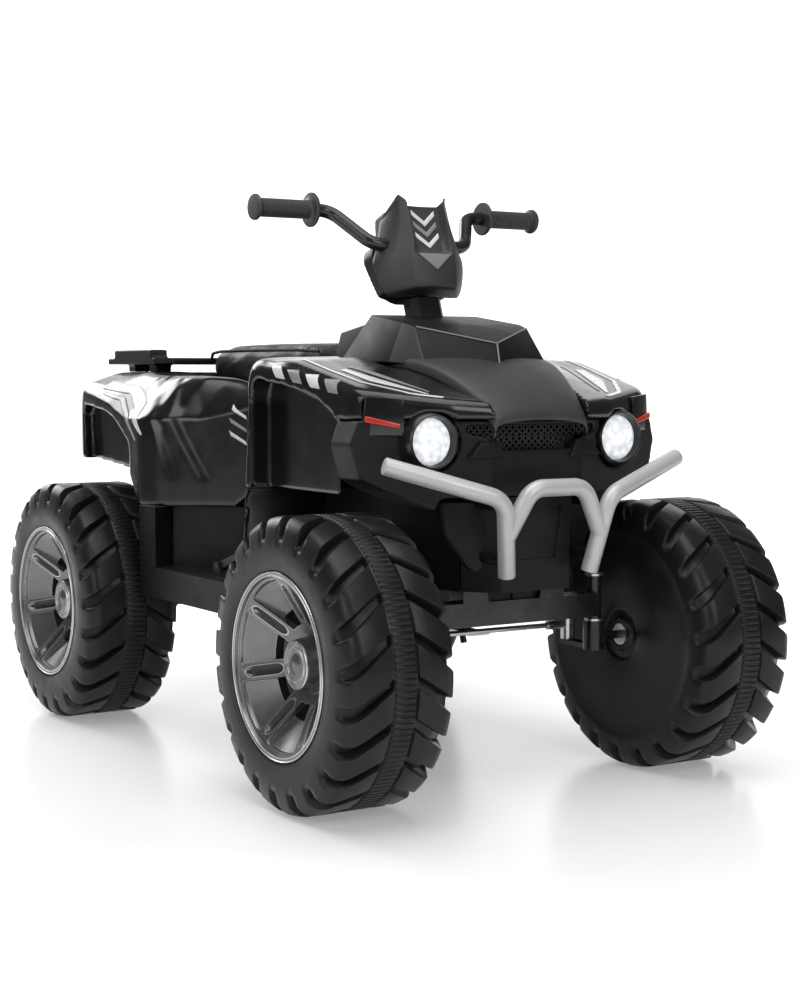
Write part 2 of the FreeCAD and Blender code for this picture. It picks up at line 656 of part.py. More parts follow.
def chassis_tub():
    tub = body("tub_body")
    nose = f"{FRONT} - tub_nose"
    stern = f"{REAR} + tub_tail"
    ramp = f"{FRONT} + 2 * foot_back"
    lobe = "axle_radius + wall * 3"
    below = "tub_bottom + wall"
    pad(outline(tub, "YZ", [
        (nose, "nose_bottom"), (nose, "tub_top"), (stern, "tub_top"), (stern, below),
        (f"{REAR} + 2 * ({lobe})", below), (f"{REAR} + {lobe}", f"tyre_radius - ({lobe})"),
        (f"{REAR} - ({lobe})", f"tyre_radius - ({lobe})"), (f"{REAR} - 2 * ({lobe})", "tub_bottom"),
        (f"{ramp} + 2 * foot_back / 2", "tub_bottom"), (ramp, "nose_bottom"),
    ]), "2 * tub_half", both=True)
    taper = f"{FRONT} + foot_back + wall * 3"
    for side in ("", "-"):
        pocket(outline(tub, "XY", [
            (f"{side}(tub_nose_half)", nose), (f"{side}(2 * tub_half)", nose),
            (f"{side}(2 * tub_half)", taper), (f"{side}(tub_half)", taper),
        ], "tub_top"), "2 * tub_top", both=True)
    pocket(outline(tub, "XY", both_sides([
        ("tub_nose_half - wall", f"{nose} + wall"), ("tub_half - wall", f"{taper} + wall"),
        ("tub_half - wall", f"{stern} - wall"),
    ]), "nose_bottom + wall"), "tub_top", back=True)
    pocket(outline(tub, "YZ", [
        (f"{ramp} + wall", "nose_bottom + 2 * wall"),
        (f"{ramp} + 2 * foot_back / 2 + wall", below), (f"{REAR} - 2 * ({lobe})", below),
        (f"{REAR} - ({lobe}) + wall", f"tyre_radius - ({lobe}) + wall"),
        (f"{REAR} + ({lobe}) - wall", f"tyre_radius - ({lobe}) + wall"),
        (f"{REAR} + 2 * ({lobe})", f"{below} + wall"), (f"{stern} - wall", f"{below} + wall"),
        (f"{stern} - wall", "nose_bottom + 2 * wall"),
    ]), "2 * tub_half - 2 * wall", both=True)
    for side in ("", "-"):
        foot_side(tub, side)
    doc.recompute()
    pocket(disc(tub, "YZ", REAR, "tyre_radius", "axle_radius + running_fit"), "3 * tub_half", both=True)
    pocket(disc(tub, "YZ", f"{REAR} - motor_ahead", "motor_z", "motor_radius + wall / 2"),
           "3 * tub_half", both=True)
    shaft_y = f"{FRONT} + foot_back + (nose_bottom - foot_z) * tan(rake * 1 deg)"
    pocket(disc(tub, "XY", 0, shaft_y, "2 * shaft_radius", "nose_bottom"), "4 * wall", both=True)
    for side in ("", "-"):
        pad(disc(tub, "XY", f"{side}(tub_nose_half + pillar_radius)", f"{FRONT} + foot_back",
                 "pillar_radius", "deck + hood_foot"), "deck + hood_foot - nose_bottom - wall / 2", back=True)
    node(tub, "chassis_tub")


def heel_line(side, inset=0):
    """The slanted wall behind a foot, from the tub's side out to the sill, in plan."""
    spread = "(sill_half - tub_half)"
    return [
        (f"{side}(tub_half - {inset})", f"{WELL_REAR} - {HEEL_RUN} + {inset}"),
        (f"{side}(tub_half + {spread} * 0.72 - {inset})", f"{WELL_REAR} - {HEEL_RUN} * 0.28 + {inset}"),
        (f"{side}(sill_half - {inset})", f"{WELL_REAR} - {HEEL_RUN} * 0.42 + {inset}"),
        (f"{side}(sill_half - {inset})", f"{WELL_REAR} - {inset}"),
        (f"{side}(tub_half - {inset})", f"{WELL_REAR} - {inset}"),
    ]


def foot_side(tub, side):
    """A foot floor with its sill and the heel block, open underneath."""
    floor = [
        (f"{side}(tub_half - wall)", WELL_FRONT), (f"{side}sill_half", WELL_FRONT),
        (f"{side}sill_half", WELL_REAR), (f"{side}(tub_half - wall)", WELL_REAR),
    ]
    pad(outline(tub, "XY", floor, "clearance"), "sill_height")
    pad(outline(tub, "XY", heel_line(side), FLOOR), "heel_height")
    inside = [
        (f"{side}tub_half", f"{WELL_FRONT} + wall"), (f"{side}(sill_half - wall)", f"{WELL_FRONT} + wall"),
        (f"{side}(sill_half - wall)", f"{WELL_REAR} - wall"), (f"{side}tub_half", f"{WELL_REAR} - wall"),
    ]
    doc.recompute()
    pocket(outline(tub, "XY", inside, "clearance"), "sill_height - wall", back=True)
    pocket(outline(tub, "XY", heel_line(side, "wall"), f"{FLOOR} - wall"), "heel_height", back=True)


def front_skirt():
    """Moulded cover ahead of the tub's nose, with a sunk flank panel each side and a stepped middle."""
    skirt = body("skirt_body")
    nose = f"{FRONT} - tub_nose - panel_gap"
    face = f"{FRONT} - fascia_front"
    pad(outline(skirt, "XY", both_sides([
        ("tub_nose_half - wall", nose), ("tub_nose_half", f"{nose} - wall"), ("skirt_half", face),
    ]), "nose_bottom"), "tub_top - nose_bottom - panel_gap")
    doc.recompute()
    pocket(outline(skirt, "XY", both_sides([
        ("tub_nose_half - 2 * wall", nose), ("skirt_half - wall", f"{face} + 2 * wall"),
    ]), "nose_bottom"), "tub_top - nose_bottom - wall", back=True)
    step = "(tub_top - nose_bottom) / 3"
    pocket(outline(skirt, "XZ", both_sides([
        ("skirt_half * 0.55", f"nose_bottom + {step}"), ("skirt_half * 0.75", f"tub_top - {step} / 3"),
    ]), f"-({face}) - wall / 2"), "wall", back=True)
    node(skirt, "front_skirt")


def fender_plan():
    """The front fender seen from above, from its inner rear corner round the outside to the nose."""
    return [
        ("-pillar_half", f"{FRONT} + well_front - wall"), ("-fender_half", f"{FRONT} + well_front - wall"),
        ("-fender_front_half", f"{FRONT} - 9"), ("-fender_inner", f"{FRONT} - 57"),
        ("-nose_half - panel_gap", f"{FRONT} - nose_reach + panel_gap"),
        ("-dome_half - 2 * wall", f"{FRONT} + 28"), ("-fender_inner", f"{FRONT} + 81"),
        ("-fender_inner", f"{FRONT} + 194"), ("-pillar_half", f"{FRONT} + 194"),
    ]


def front_fender():
    """Fender with its flare, the sunk panel over the wheel and the wall in front of the rider's foot."""
    fender = body("fender_body")
    rear = f"{FRONT} + well_front"
    lip = f"{FASCIA_TOP} + panel_gap"
    side = pad(outline(fender, "YZ", [
        (f"{rear} - wall", FLOOR), (f"{rear} - 6 * wall", "deck + wall"), (f"{rear} - 46", f"{CREST} - 8"),
        (f"{FRONT} + 149", CREST), (f"{FRONT} - nose_reach", "deck - 15"),
        (f"{FRONT} - nose_reach", lip), (f"{FRONT} + 38", lip), (f"{FRONT} + 38", "panel_bottom"),
        (f"{rear} - 5 * wall", "panel_bottom"), (f"{rear} - 3 * wall", FLOOR),
    ]), "2 * fender_half", both=True)
    soften(side, "shoulder_round", 1, 2)
    soften(side, "crest_round", 3)
    keep = body("fender_keep")
    soften(pad(outline(keep, "XY", fender_plan()), "2 * deck"), "corner_round", 2, 3)
    arch = body("fender_arch")
    under = f"{CREST} - flare"
    opening = pad(outline(arch, "YZ", [
        (f"{rear} - 9 * wall", "panel_bottom - flare"), (f"{rear} - 9 * wall", under),
        (f"{FRONT} + 149", under), (f"{FRONT} + 77", f"{under} - 17"), (f"{FRONT} + 38", f"{lip} + wall"),
        (f"{FRONT} + 38", "panel_bottom - flare"),
    ], "-panel_half"), "2 * fender_half", back=True)
    soften(opening, "shoulder_round", 1, 3)
    soften(opening, "crest_round", 2)
    inside = body("fender_inside")
    pad(outline(inside, "YZ", [
        (f"{rear} - 7 * wall", "panel_bottom - flare"), (f"{rear} - 9 * wall", "deck"),
        (f"{rear} - 46", f"{CREST} - 8 - 2 * wall"), (f"{FRONT} + 149", f"{CREST} - 2 * wall"),
        (f"{FRONT} - 20", "deck - 15 + wall"),
        (f"{FRONT} - 20", "panel_bottom - flare"),
    ], "-panel_half + wall"), "panel_half - fender_inner / 2")
    sharp = common("fender_common", fender, keep)
    right = rimmed("fender_rim", sharp, "fender_round", lambda n: max(n.y, n.z) > 0.6 and n.z > -0.2,
                   lambda n: n.x < -0.25 and abs(n.z) < 0.3)
    room = box("fender_room", "2 * tub_half + 2 * panel_gap", "wheelbase", "tub_top + panel_gap",
               ("-tub_half - panel_gap", "-wheelbase", 0))
    left_and_right(cut("front_fender", right, arch, inside, room, lamp_hole("-")), "front_fender")


def hood_cover():
    """Centre cover: console, raised dome with its pointed front and the nose panel down to the grille."""
    hood = body("hood_body")
    foot = "deck + hood_foot"
    top = "deck + dome_rise"
    nose = f"{FRONT} - nose_reach"
    low = "deck - nose_drop"
    console = f"{FRONT} + well_front + wall + panel_gap"
    pad(outline(hood, "YZ", [
        (f"{FRONT} + 300", "deck"), (f"{FRONT} + 292", "deck + seat_thick"), (f"{FRONT} + 280", f"{top} - 20"),
        (f"{FRONT} + 209", f"{top} - 12"), (f"{FRONT} + 176", top), (f"{FRONT} + 74", f"{top} - 14"),
        (f"{FRONT} + 19", f"{top} - 36"), (f"{FRONT} + 13", f"{top} - 62"), (nose, low), (nose, f"{low} - wall"),
        (f"{FRONT} + 2", foot), (console, foot), (console, "deck"),
    ]), "2 * fender_inner", both=True)
    keep = body("hood_keep")
    pad(outline(keep, "XY", both_sides([
        ("pillar_half - panel_gap", f"{FRONT} + 330"), ("pillar_half - panel_gap", f"{FRONT} + 194"),
        ("fender_inner - panel_gap", f"{FRONT} + 194"), ("fender_inner - panel_gap", f"{FRONT} + 81"),
        ("dome_half + 2 * wall - panel_gap", f"{FRONT} + 28"), ("nose_half", nose),
    ])), "2 * deck")
    flank = body("hood_flank")
    pad(outline(flank, "XZ", both_sides([
        ("dome_half - 3 * wall", "2 * deck"), ("dome_half - wall", f"{top} - wall"), ("dome_half", f"{top} - 14"),
        ("fender_inner", f"{CREST} - panel_gap"), ("fender_inner", "0"),
    ])), "wheelbase", back=False)
    wedge = body("hood_wedge")
    pad(outline(wedge, "XY", [
        ("-2 * fender_inner", f"{FRONT} + 126"), ("0", f"{FRONT} + 19"), ("2 * fender_inner", f"{FRONT} + 126"),
        ("2 * fender_inner", "-wheelbase"), ("-2 * fender_inner", "-wheelbase"),
    ], f"{CREST} - panel_gap"), "deck")
    inside = body("hood_inside")
    pad(outline(inside, "YZ", [
        (f"{FRONT} + 296", "0"), (f"{FRONT} + 288", "deck + seat_thick - wall"),
        (f"{FRONT} + 276", f"{top} - 24"), (f"{FRONT} + 209", f"{top} - 16"), (f"{FRONT} + 176", f"{top} - wall"),
        (f"{FRONT} + 78", f"{top} - 18"), (f"{FRONT} + 30", f"{top} - 62"), (f"{FRONT} + 30", "0"),
    ]), "2 * pillar_half - 2 * wall", both=True)
    shoulder = box("hood_shoulder", "2 * fender_inner - 3 * wall", "104", "deck + hood_foot",
                   ("-fender_inner + 1.5 * wall", f"{FRONT} + 86", f"{CREST} - 2 * wall - deck - hood_foot"))
    neck = raked(rod("hood_neck", "neck_hole", "2 * shaft_length", (0, 0, 0)))
    whole = common("hood_common", hood, keep, flank)
    node(cut("hood_cover", whole, wedge, inside, shoulder, neck), "hood_cover")


def fascia_face(inset=0):
    """The fascia from the front: right half from the middle down and out, then up to the top."""
    return [
        (f"tub_half + panel_gap + {inset}", f"tub_top + {inset}"),
        (f"fascia_half * 0.58 - {inset}", f"tub_top - 14 + {inset}"),
        (f"fascia_half * 0.85 - {inset}", f"tub_top + 10 + {inset}"),
        (f"fascia_half * 0.95 - {inset}", f"tub_top + 22 + {inset}"),
        (f"fascia_half - {inset}", f"tub_top + 60"), (f"fender_front_half - {inset}", f"{FASCIA_TOP} - {inset}"),
    ]


def fascia_plan(inset=0):
    """The fascia from above: right half from the middle of its front face round to the cheek."""
    return [
        (f"nose_half - {inset}", f"{FRONT} - fascia_front + {inset}"),
        (f"lamp_x - bezel_radius - {inset}", f"{FRONT} - fascia_front + 12 + {inset}"),
        (f"lamp_x + bezel_radius - {inset}", f"{FRONT} - lamp_front + 5 + {inset}"),
        (f"fascia_half - {inset}", f"{FRONT} - 9 + {inset}"), (f"fascia_half - {inset}", f"{FRONT} + 38"),
    ]


def lamp_hole(side):
    """Room for a headlight through the fascia and under the brow."""
    return rod("lamp_hole", "bezel_radius + cap_gap", "3 * fascia_front",
               (f"{side}lamp_x", f"{FRONT} - 2 * fascia_front", "lamp_z"), "Y")


def front_fascia():
    """Nose below the brow: lamp pockets, grille opening and a cheek each side, open at the back."""
    solid = body("fascia_solid")
    back = f"{FRONT} + 38"
    deep = "2 * wheelbase"
    pad(outline(solid, "XZ", both_sides(fascia_face()), f"-({back})"), deep)
    plan = body("fascia_plan")
    pad(outline(plan, "XY", both_sides(fascia_plan())), "2 * deck")
    whole = common("fascia_common", solid, plan)
    hollow = body("fascia_hollow")
    pad(outline(hollow, "XZ", both_sides(fascia_face("wall")), f"-({back}) - wall"), deep)
    inner = body("fascia_inner")
    pad(outline(inner, "XY", both_sides(fascia_plan("wall"))), "2 * deck")
    inside = common("fascia_inside", hollow, inner)
    mesh = body("fascia_mouth")
    pad(outline(mesh, "XZ", grille_face("mesh_bar"), f"-({FRONT})"), "2 * fascia_front")
    node(cut("front_fascia", whole, inside, mesh, lamp_hole(""), lamp_hole("-")), "front_fascia")


def grille_face(inset=0):
    """The grille from the front: wide along the top, narrow at the foot."""
    low = f"{FASCIA_TOP} - grille_height"
    return both_sides([
        (f"grille_low_half - {inset}", f"{low} + {inset}"),
        (f"grille_low_half + 2 * wall - {inset}", f"{FASCIA_TOP} - grille_height / 2 - {inset}"),
        (f"lamp_x - bezel_radius - wall - {inset}", f"{FASCIA_TOP} - grille_height / 3 - {inset} / 2"),
        (f"lamp_x - bezel_radius - wall - {inset}", f"{FASCIA_TOP} - wall - {inset}"),
    ])


def grille_mesh():
    """Plate behind the grille opening, pierced by a net of diamonds."""
    plate = body("grille_plate")
    face = f"{FRONT} - fascia_front + wall + 12 + panel_gap"
    pad(outline(plate, "XZ", grille_face(), f"-({face})"), "mesh_thick", back=True)
    pitch = cell("mesh_pitch")
    half = pitch / 2 - cell("mesh_bar") / 1.4
    top = cell("tub_top") + cell("fascia_height") - 2 * cell("wall")
    start = -cell("wheelbase") / 2
    tools = []
    rows = int(cell("grille_height") / (pitch / 2))
    for row in range(rows):
        z = top - half - row * pitch / 2
        reach = cell("lamp_x") - cell("bezel_radius") - 3 * cell("wall")
        if row > rows / 3:
            reach = cell("grille_low_half") - cell("wall")
        count = int((reach - half) / pitch)
        shift = (row % 2) * pitch / 2
        for k in range(-count, count + 1):
            x = k * pitch + shift
            if abs(x) + half < reach:
                tools.append(prism([Vector(x - half, start, z), Vector(x, start, z - half),
                                    Vector(x + half, start, z), Vector(x, start, z + half)],
                                   Vector(0, -2 * cell("fascia_front"), 0)))
    node(cut("grille_mesh", plate, shaped("diamonds", Part.makeCompound(tools))), "grille_mesh")


def headlight():
    """Bezel, domed lens and reflector of the right headlight, turned round the lamp's own axis."""
    face = f"{FRONT} - lamp_front"
    profiles = {
        "headlight_bezels": [
            ("lens_radius + cap_gap", "0"), ("bezel_radius", "0"), ("bezel_radius", "bezel_depth * 0.7"),
            ("bezel_radius - wall", "bezel_depth"), ("lens_radius + cap_gap", "bezel_depth - wall"),
        ],
        "headlight_lens": [
            ("0", "0"), ("lens_radius", "0"), ("lens_radius", "bezel_depth / 2"),
            ("lens_radius * 0.8", "bezel_depth * 0.8"), ("lens_radius * 0.4", "bezel_depth"), ("0", "bezel_depth"),
        ],
        "headlight_reflectors": [
            ("0", "-bezel_depth"), ("lens_radius / 2", "-bezel_depth"), ("bezel_radius - wall / 2", "-wall"),
            ("bezel_radius - wall / 2", "-panel_gap / 2"), ("lens_radius - wall", "-panel_gap / 2"),
            ("lens_radius / 3", "-bezel_depth + wall"), ("0", "-bezel_depth + wall"),
        ],
    }
    for name, profile in profiles.items():
        piece = body(f"{name}_body")
        turned(piece, "XY", profile, "V_Axis")
        place(piece, "-lamp_x", face, "lamp_z")
        piece.Placement.Rotation = Rotation(Vector(0, 0, 1), 180)
        keep = left_and_right if name == "headlight_lens" else pair
        keep(piece, name)


def marker_lens():
    """Slim wedge lens on the fascia, under the fender's front corner."""
    lens = body("marker_body")
    plan = fascia_plan()
    inner, outer = plan[2], plan[3]
    pad(outline(lens, "XY", [
        (f"-({inner[0]}) - wall", f"{inner[1]} + 2 * panel_gap - 4 * wall / 2"),
        (f"-({outer[0]}) + 4 * wall", f"{outer[1]} - wall / 2 - 3 * wall / 2"),
        (f"-({outer[0]}) + 4 * wall", f"{outer[1]} - wall"), (f"-({inner[0]}) - wall", f"{inner[1]} - panel_gap"),
    ], f"{FASCIA_TOP} - wall - marker_height"), "marker_height")
    piece = cut("marker_cut", lens, doc.getObject("fascia_common"))
    pair(piece, "marker_lenses")


def front_bumper():
    """Bent tube: a bar each side and the hoop between them, on four stubs from the skirt and fascia."""
    ahead = -cell("wheelbase") / 2 - cell("bumper_front")
    knee_x = cell("skirt_half") + 25
    knee_z = cell("tub_top")
    foot_x = cell("skirt_half") + cell("bumper_radius")
    bars = []
    for side in (-1, 1):
        points = [
            Vector(side * cell("fender_front_half"), ahead + 40, knee_z + cell("bumper_rise")),
            Vector(side * knee_x, ahead, knee_z),
            Vector(side * foot_x, ahead + 18, knee_z - cell("bumper_drop")),
        ]
        bars.append(bent_tube(points, cell("bumper_radius"), cell("bumper_bend")))
    joint_x = (knee_x + foot_x) / 2
    hoop = [Vector(-joint_x, ahead, knee_z - 32), Vector(-knee_x / 2, ahead, knee_z + 12),
            Vector(knee_x / 2, ahead, knee_z + 12), Vector(joint_x, ahead, knee_z - 32)]
    bars.append(bent_tube(hoop, cell("bumper_radius"), cell("bumper_bend")))
    tubes = shaped("bumper_tubes", bars[0].fuse(bars[1:]))
    stubs = []
    reach = "bumper_front"
    for side in ("", "-"):
        stubs.append(rod("bumper_stub", "bumper_radius * 0.7", reach,
                         (f"{side}(skirt_half + bumper_radius * 0.6)", f"{FRONT} - bumper_front + 15",
                          "tub_top - 70"), "Y"))
        stubs.append(rod("bumper_stub", "bumper_radius * 0.7", reach,
                         (f"{side}(skirt_half + 20)", f"{FRONT} - bumper_front", "tub_top + bumper_radius"), "Y"))
    whole = fused("bumper_whole", tubes, *stubs)
    trim = body("bumper_trim")
    pad(outline(trim, "XY", both_sides([
        ("half_width", f"{FRONT} + half_width"), ("half_width", f"{FRONT} - tub_nose - panel_gap - wall"),
        ("tub_nose_half", f"{FRONT} - tub_nose - panel_gap - wall"), ("skirt_half", f"{FRONT} - fascia_front"),
    ])), "tub_top - panel_gap")
    shadow = doc.getObject("fascia_common")
    node(cut("front_bumper", whole, trim, shadow), "front_bumper")


def rear_plan(inset=0):
    """The rear body from above, right half from the waist round the hip to the tail."""
    spread = "(hip_half - tub_half)"
    return [
        (f"tub_half + wall + panel_gap - {inset}", f"{FRONT} + well_front + wall + {inset}"),
        (f"tub_half + wall + panel_gap - {inset}", f"{WELL_REAR} - {HEEL_RUN} - 20 + {inset} / 2"),
        (f"tub_half + {spread} * 0.9 - {inset}", f"{WELL_REAR} - {HEEL_RUN} * 0.3 + {inset} / 2"),
        (f"hip_half - {inset}", f"{WELL_REAR} - 12 + {inset} / 2"),
        (f"tail_half + 12 - {inset}", f"{TAIL} - 40"), (f"tail_half - 2 * {inset}", f"{TAIL} - {inset}"),
    ]


def rear_body():
    """Hips and rear fenders: flares over the wheels, sunk side panels and the deck that carries the seat."""
    solid = body("rear_solid")
    front = f"{FRONT} + well_front + wall"
    ledge = f"{FLOOR} + heel_height"
    crest = "deck + rear_crest"
    side = pad(outline(solid, "YZ", [
        (front, "tub_top"), (front, "deck"), (f"{REAR} - 129", "deck"), (f"{REAR} - 59", f"{crest} - 1"),
        (f"{REAR} + 66", crest), (TAIL, "deck - 20"), (f"{TAIL} - 8", "panel_bottom + 18"),
        (f"{REAR} - 137", "panel_bottom"), (WELL_REAR, ledge), (f"{WELL_REAR} - {HEEL_RUN} * 0.9", ledge),
        (f"{WELL_REAR} - {HEEL_RUN} - 20", "tub_top"),
    ]), "2 * hip_half", both=True)
    soften(side, "crest_round / 2", 2, 3)
    soften(side, "shoulder_round", 4, 5)
    plan = body("rear_plan")
    corners = rear_plan()
    above = pad(outline(plan, "XY", both_sides(corners)), "2 * deck")
    soften(above, "corner_round", *mirrored(len(corners), 1, 2, 3))
    soften(above, "shoulder_round", *mirrored(len(corners), 4, 5))
    sharp = common("rear_common", solid, plan)
    whole = rimmed("rear_rim", sharp, "hip_round", lambda n: n.z > 0.6,
                   lambda n: abs(n.x) > 0.25 and abs(n.z) < 0.4)
    hollows = []
    for inset, top in (("wall", "deck - hip_round"), ("hip_round", "deck - wall")):
        hollow = body("rear_hollow")
        pad(outline(hollow, "XY", both_sides([
            *rear_plan(inset)[:4], (f"hip_half - 2 * ({inset})", f"{REAR} - 141"),
            (f"panel_half - {inset}", f"{REAR} - 141"), (f"panel_half - {inset}", f"{TAIL} - 3 * wall"),
        ])), top)
        hollows.append(hollow)
    arches = []
    for hand, back in (("-", True), ("", False)):
        arch = body("rear_arch")
        opening = pad(outline(arch, "YZ", [
            (f"{REAR} - 137", "panel_bottom - flare"), (f"{REAR} - 137", "panel_bottom + 40"),
            (f"{REAR} - 80", f"{crest} - 50"), (f"{REAR} - 44", f"{crest} - 38"),
            (f"{TAIL} - 50", f"{crest} - 37"), (f"{TAIL} - 42", f"{crest} - 55"),
            (f"{TAIL} - 52", "panel_bottom - flare"),
        ], f"{hand}panel_half"), "2 * hip_half", back=back)
        soften(opening, "shoulder_round", 1, 2, 3)
        arches.append(arch)
    bed = box("seat_bed", "2 * seat_half + wall", f"{SEAT_REAR} + wall / 2 - {FRONT}", "seat_thick",
              ("-seat_half - wall / 2", FRONT, "deck"))
    node(cut("rear_body", whole, bed, *hollows, *arches), "rear_body")


def rear_rack():
    """Luggage rack: a slatted plate with raised side rails on four posts."""
    rack = body("rack_body")
    low = f"{RACK_FOOT} + rack_lift"
    back = f"{REAR} + tyre_radius - wall"
    front = f"{back} - rack_length"
    pad(outline(rack, "XY", both_sides([
        ("rack_half - 5 * wall", front), ("rack_half", f"{front} + 6 * wall"), ("rack_half", f"{back} - 6 * wall"),
        ("rack_half - 5 * wall", back),
    ]), low), "rack_thick")
    for side in ("", "-"):
        pad(outline(rack, "XY", [
            (f"{side}(rack_half - 5 * wall)", f"{front} + 6 * wall"), (f"{side}rack_half", f"{front} + 9 * wall"),
            (f"{side}rack_half", f"{back} - 12 * wall"), (f"{side}(rack_half - 5 * wall)", f"{back} - 9 * wall"),
        ], f"{low} + rack_thick"), "rack_rail")
        for y in (f"{front} + 9 * wall", f"{REAR} + 55"):
            pad(outline(rack, "XY", [
                (f"{side}(rack_half - 2 * wall - post_width)", y), (f"{side}(rack_half - 2 * wall)", y),
                (f"{side}(rack_half - 2 * wall)", f"{y} + post_width"),
                (f"{side}(rack_half - 2 * wall - post_width)", f"{y} + post_width"),
            ], low), "rack_lift", back=True)
    doc.recompute()
    slat = pocket(outline(rack, "XY", both_sides([
        ("rack_half - 9 * wall", f"{front} + 7 * wall"), ("rack_half - 9 * wall", f"{front} + 10 * wall"),
    ]), low), "rack_thick", back=True)
    row = rack.newObject("PartDesign::LinearPattern", "rack_slats")
    row.Originals = [slat]
    row.Direction = (next(item for item in rack.Origin.OriginFeatures if item.Role == "Y_Axis"), [""])
    bind(row, Length="rack_length - 17 * wall")
    row.Occurrences = 5
    rack.Tip = row
    node(rack, "rear_rack")


def seat():
    """Seat pan and the cushion on it: crowned across and along, with its sides drawn in."""
    pan = body("pan_body")
    edge = "seat_half - 2 * wall"
    pad(outline(pan, "XY", both_sides([
        (f"{edge} - 6 * wall", f"{SEAT_FRONT} + wall"), (edge, f"{SEAT_FRONT} + 16 * wall"),
        (edge, f"{SEAT_REAR} - 7 * wall"), (f"{edge} - 5 * wall", f"{SEAT_REAR} - wall"),
    ]), "deck"), "pan_thick")
    node(pan, "seat_pan")
    base = cell("deck") + cell("pan_thick") + cell("cap_gap") / 2
    thick = cell("seat_thick")
    front = cell("seat_front") - cell("wheelbase") / 2
    span = cell("wheelbase") - cell("seat_front") - cell("seat_rear")
    stations = [(0.0, 0.70, 0.62), (0.12, 0.90, 0.92), (0.45, 0.98, 1.0), (0.85, 1.0, 1.05), (1.0, 0.88, 0.76)]
    sections = []
    for along, wide, tall in stations:
        y = front + span * along
        half = cell("seat_half") * wide
        crown = thick * tall
        foot = half - thick / 6
        waist = Vector(half, y, base + crown * 0.45)
        edges = [
            Part.LineSegment(Vector(-foot, y, base), Vector(foot, y, base)).toShape(),
            Part.Arc(Vector(foot, y, base), Vector(half - thick / 16, y, base + crown * 0.2), waist).toShape(),
            Part.Arc(waist, Vector(half - thick / 12, y, base + crown * 0.72),
                     Vector(half * 0.82, y, base + crown * 0.9)).toShape(),
            Part.Arc(Vector(half * 0.82, y, base + crown * 0.9), Vector(0, y, base + crown),
                     Vector(-half * 0.82, y, base + crown * 0.9)).toShape(),
            Part.Arc(Vector(-half * 0.82, y, base + crown * 0.9),
                     Vector(-half + thick / 12, y, base + crown * 0.72),
                     Vector(-half, y, base + crown * 0.45)).toShape(),
            Part.Arc(Vector(-half, y, base + crown * 0.45),
                     Vector(-half + thick / 16, y, base + crown * 0.2), Vector(-foot, y, base)).toShape(),
        ]
        sections.append(Part.Wire(edges))
    node(shaped("seat_cushion", Part.makeLoft(sections, True, True)), "seat_cushion")


# Front axle and steering

def front_axle():
    """Box beam with a king pin sleeve at each end, and the hangers that hold it under the tub."""
    beam = box("beam_box", "2 * king_x - sleeve_radius", "beam_depth", "beam_height",
               ("-king_x + sleeve_radius / 2", f"{FRONT} - beam_depth / 2", "beam_bottom"))
    sleeves = []
    bores = []
    for side in ("", "-"):
        sleeves.append(rod("beam_sleeve", "sleeve_radius", "sleeve_height", (f"{side}king_x", FRONT, SLEEVE_FOOT)))
        bores.append(rod("beam_bore", "king_radius + running_fit", "2 * sleeve_height",
                         (f"{side}king_x", FRONT, f"{SLEEVE_FOOT} - sleeve_height / 2")))
    node(cut("front_axle_beam", fused("beam_whole", beam, *sleeves), *bores), "front_axle_beam")
    hanger = body("hanger_body")
    top = "beam_bottom + beam_height"
    pad(outline(hanger, "XZ", [
        ("-tub_nose_half + 2 * wall", top), ("-tub_nose_half + 2 * wall", "nose_bottom"),
        ("-tub_nose_half / 2", "nose_bottom"), ("-tub_nose_half / 2 + wall", top),
    ], f"-({FRONT}) - beam_depth / 2 + wall"), "beam_depth - 2 * wall + tub_nose - beam_depth / 2 + wall / 2")
    pair(hanger, "axle_hangers")


def knuckle():
    """King pin, stub axle and steering arm of the right front wheel, with the washers and nuts on them."""
    foot = "tyre_radius - 3 * axle_radius"
    seat_z = f"{SLEEVE_FOOT} - washer_thick - cap_gap"
    pin_top = f"{SLEEVE_FOOT} + sleeve_height + 3 * washer_thick + cap_gap"
    king = rod("king_pin", "king_radius", f"{pin_top} - tyre_radius", ("-king_x", FRONT, "tyre_radius"))
    collar = rod("king_collar", "2.2 * king_radius", f"{seat_z} - ({foot})", ("-king_x", FRONT, foot))
    stub = rod("stub_axle", "axle_radius", "half_width - axle_end - king_x", ("-half_width + axle_end", FRONT, "tyre_radius"), "X")
    arm = box("steering_arm", "4 * pin_radius", "arm_reach + 2 * pin_radius", "crank_thick",
              ("-king_x - 2 * pin_radius", FRONT, foot))
    pin = rod("arm_pin", "pin_radius", "foot_z - tyre_radius", ("-king_x", f"{FRONT} + arm_reach", foot))
    left_and_right(fused("knuckle", king, collar, stub, arm, pin), "knuckle")
    rings = []
    for level in (f"{seat_z} + cap_gap / 2", f"{SLEEVE_FOOT} + sleeve_height + cap_gap / 2"):
        disc_solid = rod("washer_disc", "washer_radius", "washer_thick", ("-king_x", FRONT, level))
        hole = rod("washer_hole", "king_radius + running_fit", "washer_thick", ("-king_x", FRONT, level))
        rings.append(cut("washer_ring", disc_solid, hole))
    nut = rod("axle_nut", "nut_radius", "nut_length", ("-half_width + axle_end", FRONT, "tyre_radius"), "X")
    bore = rod("axle_nut_bore", "axle_radius + running_fit", "nut_length",
               ("-half_width + axle_end", FRONT, "tyre_radius"), "X")
    rings.append(cut("axle_nut_ring", nut, bore))
    left_and_right(grouped("knuckle_hardware", *rings), "knuckle_hardware")


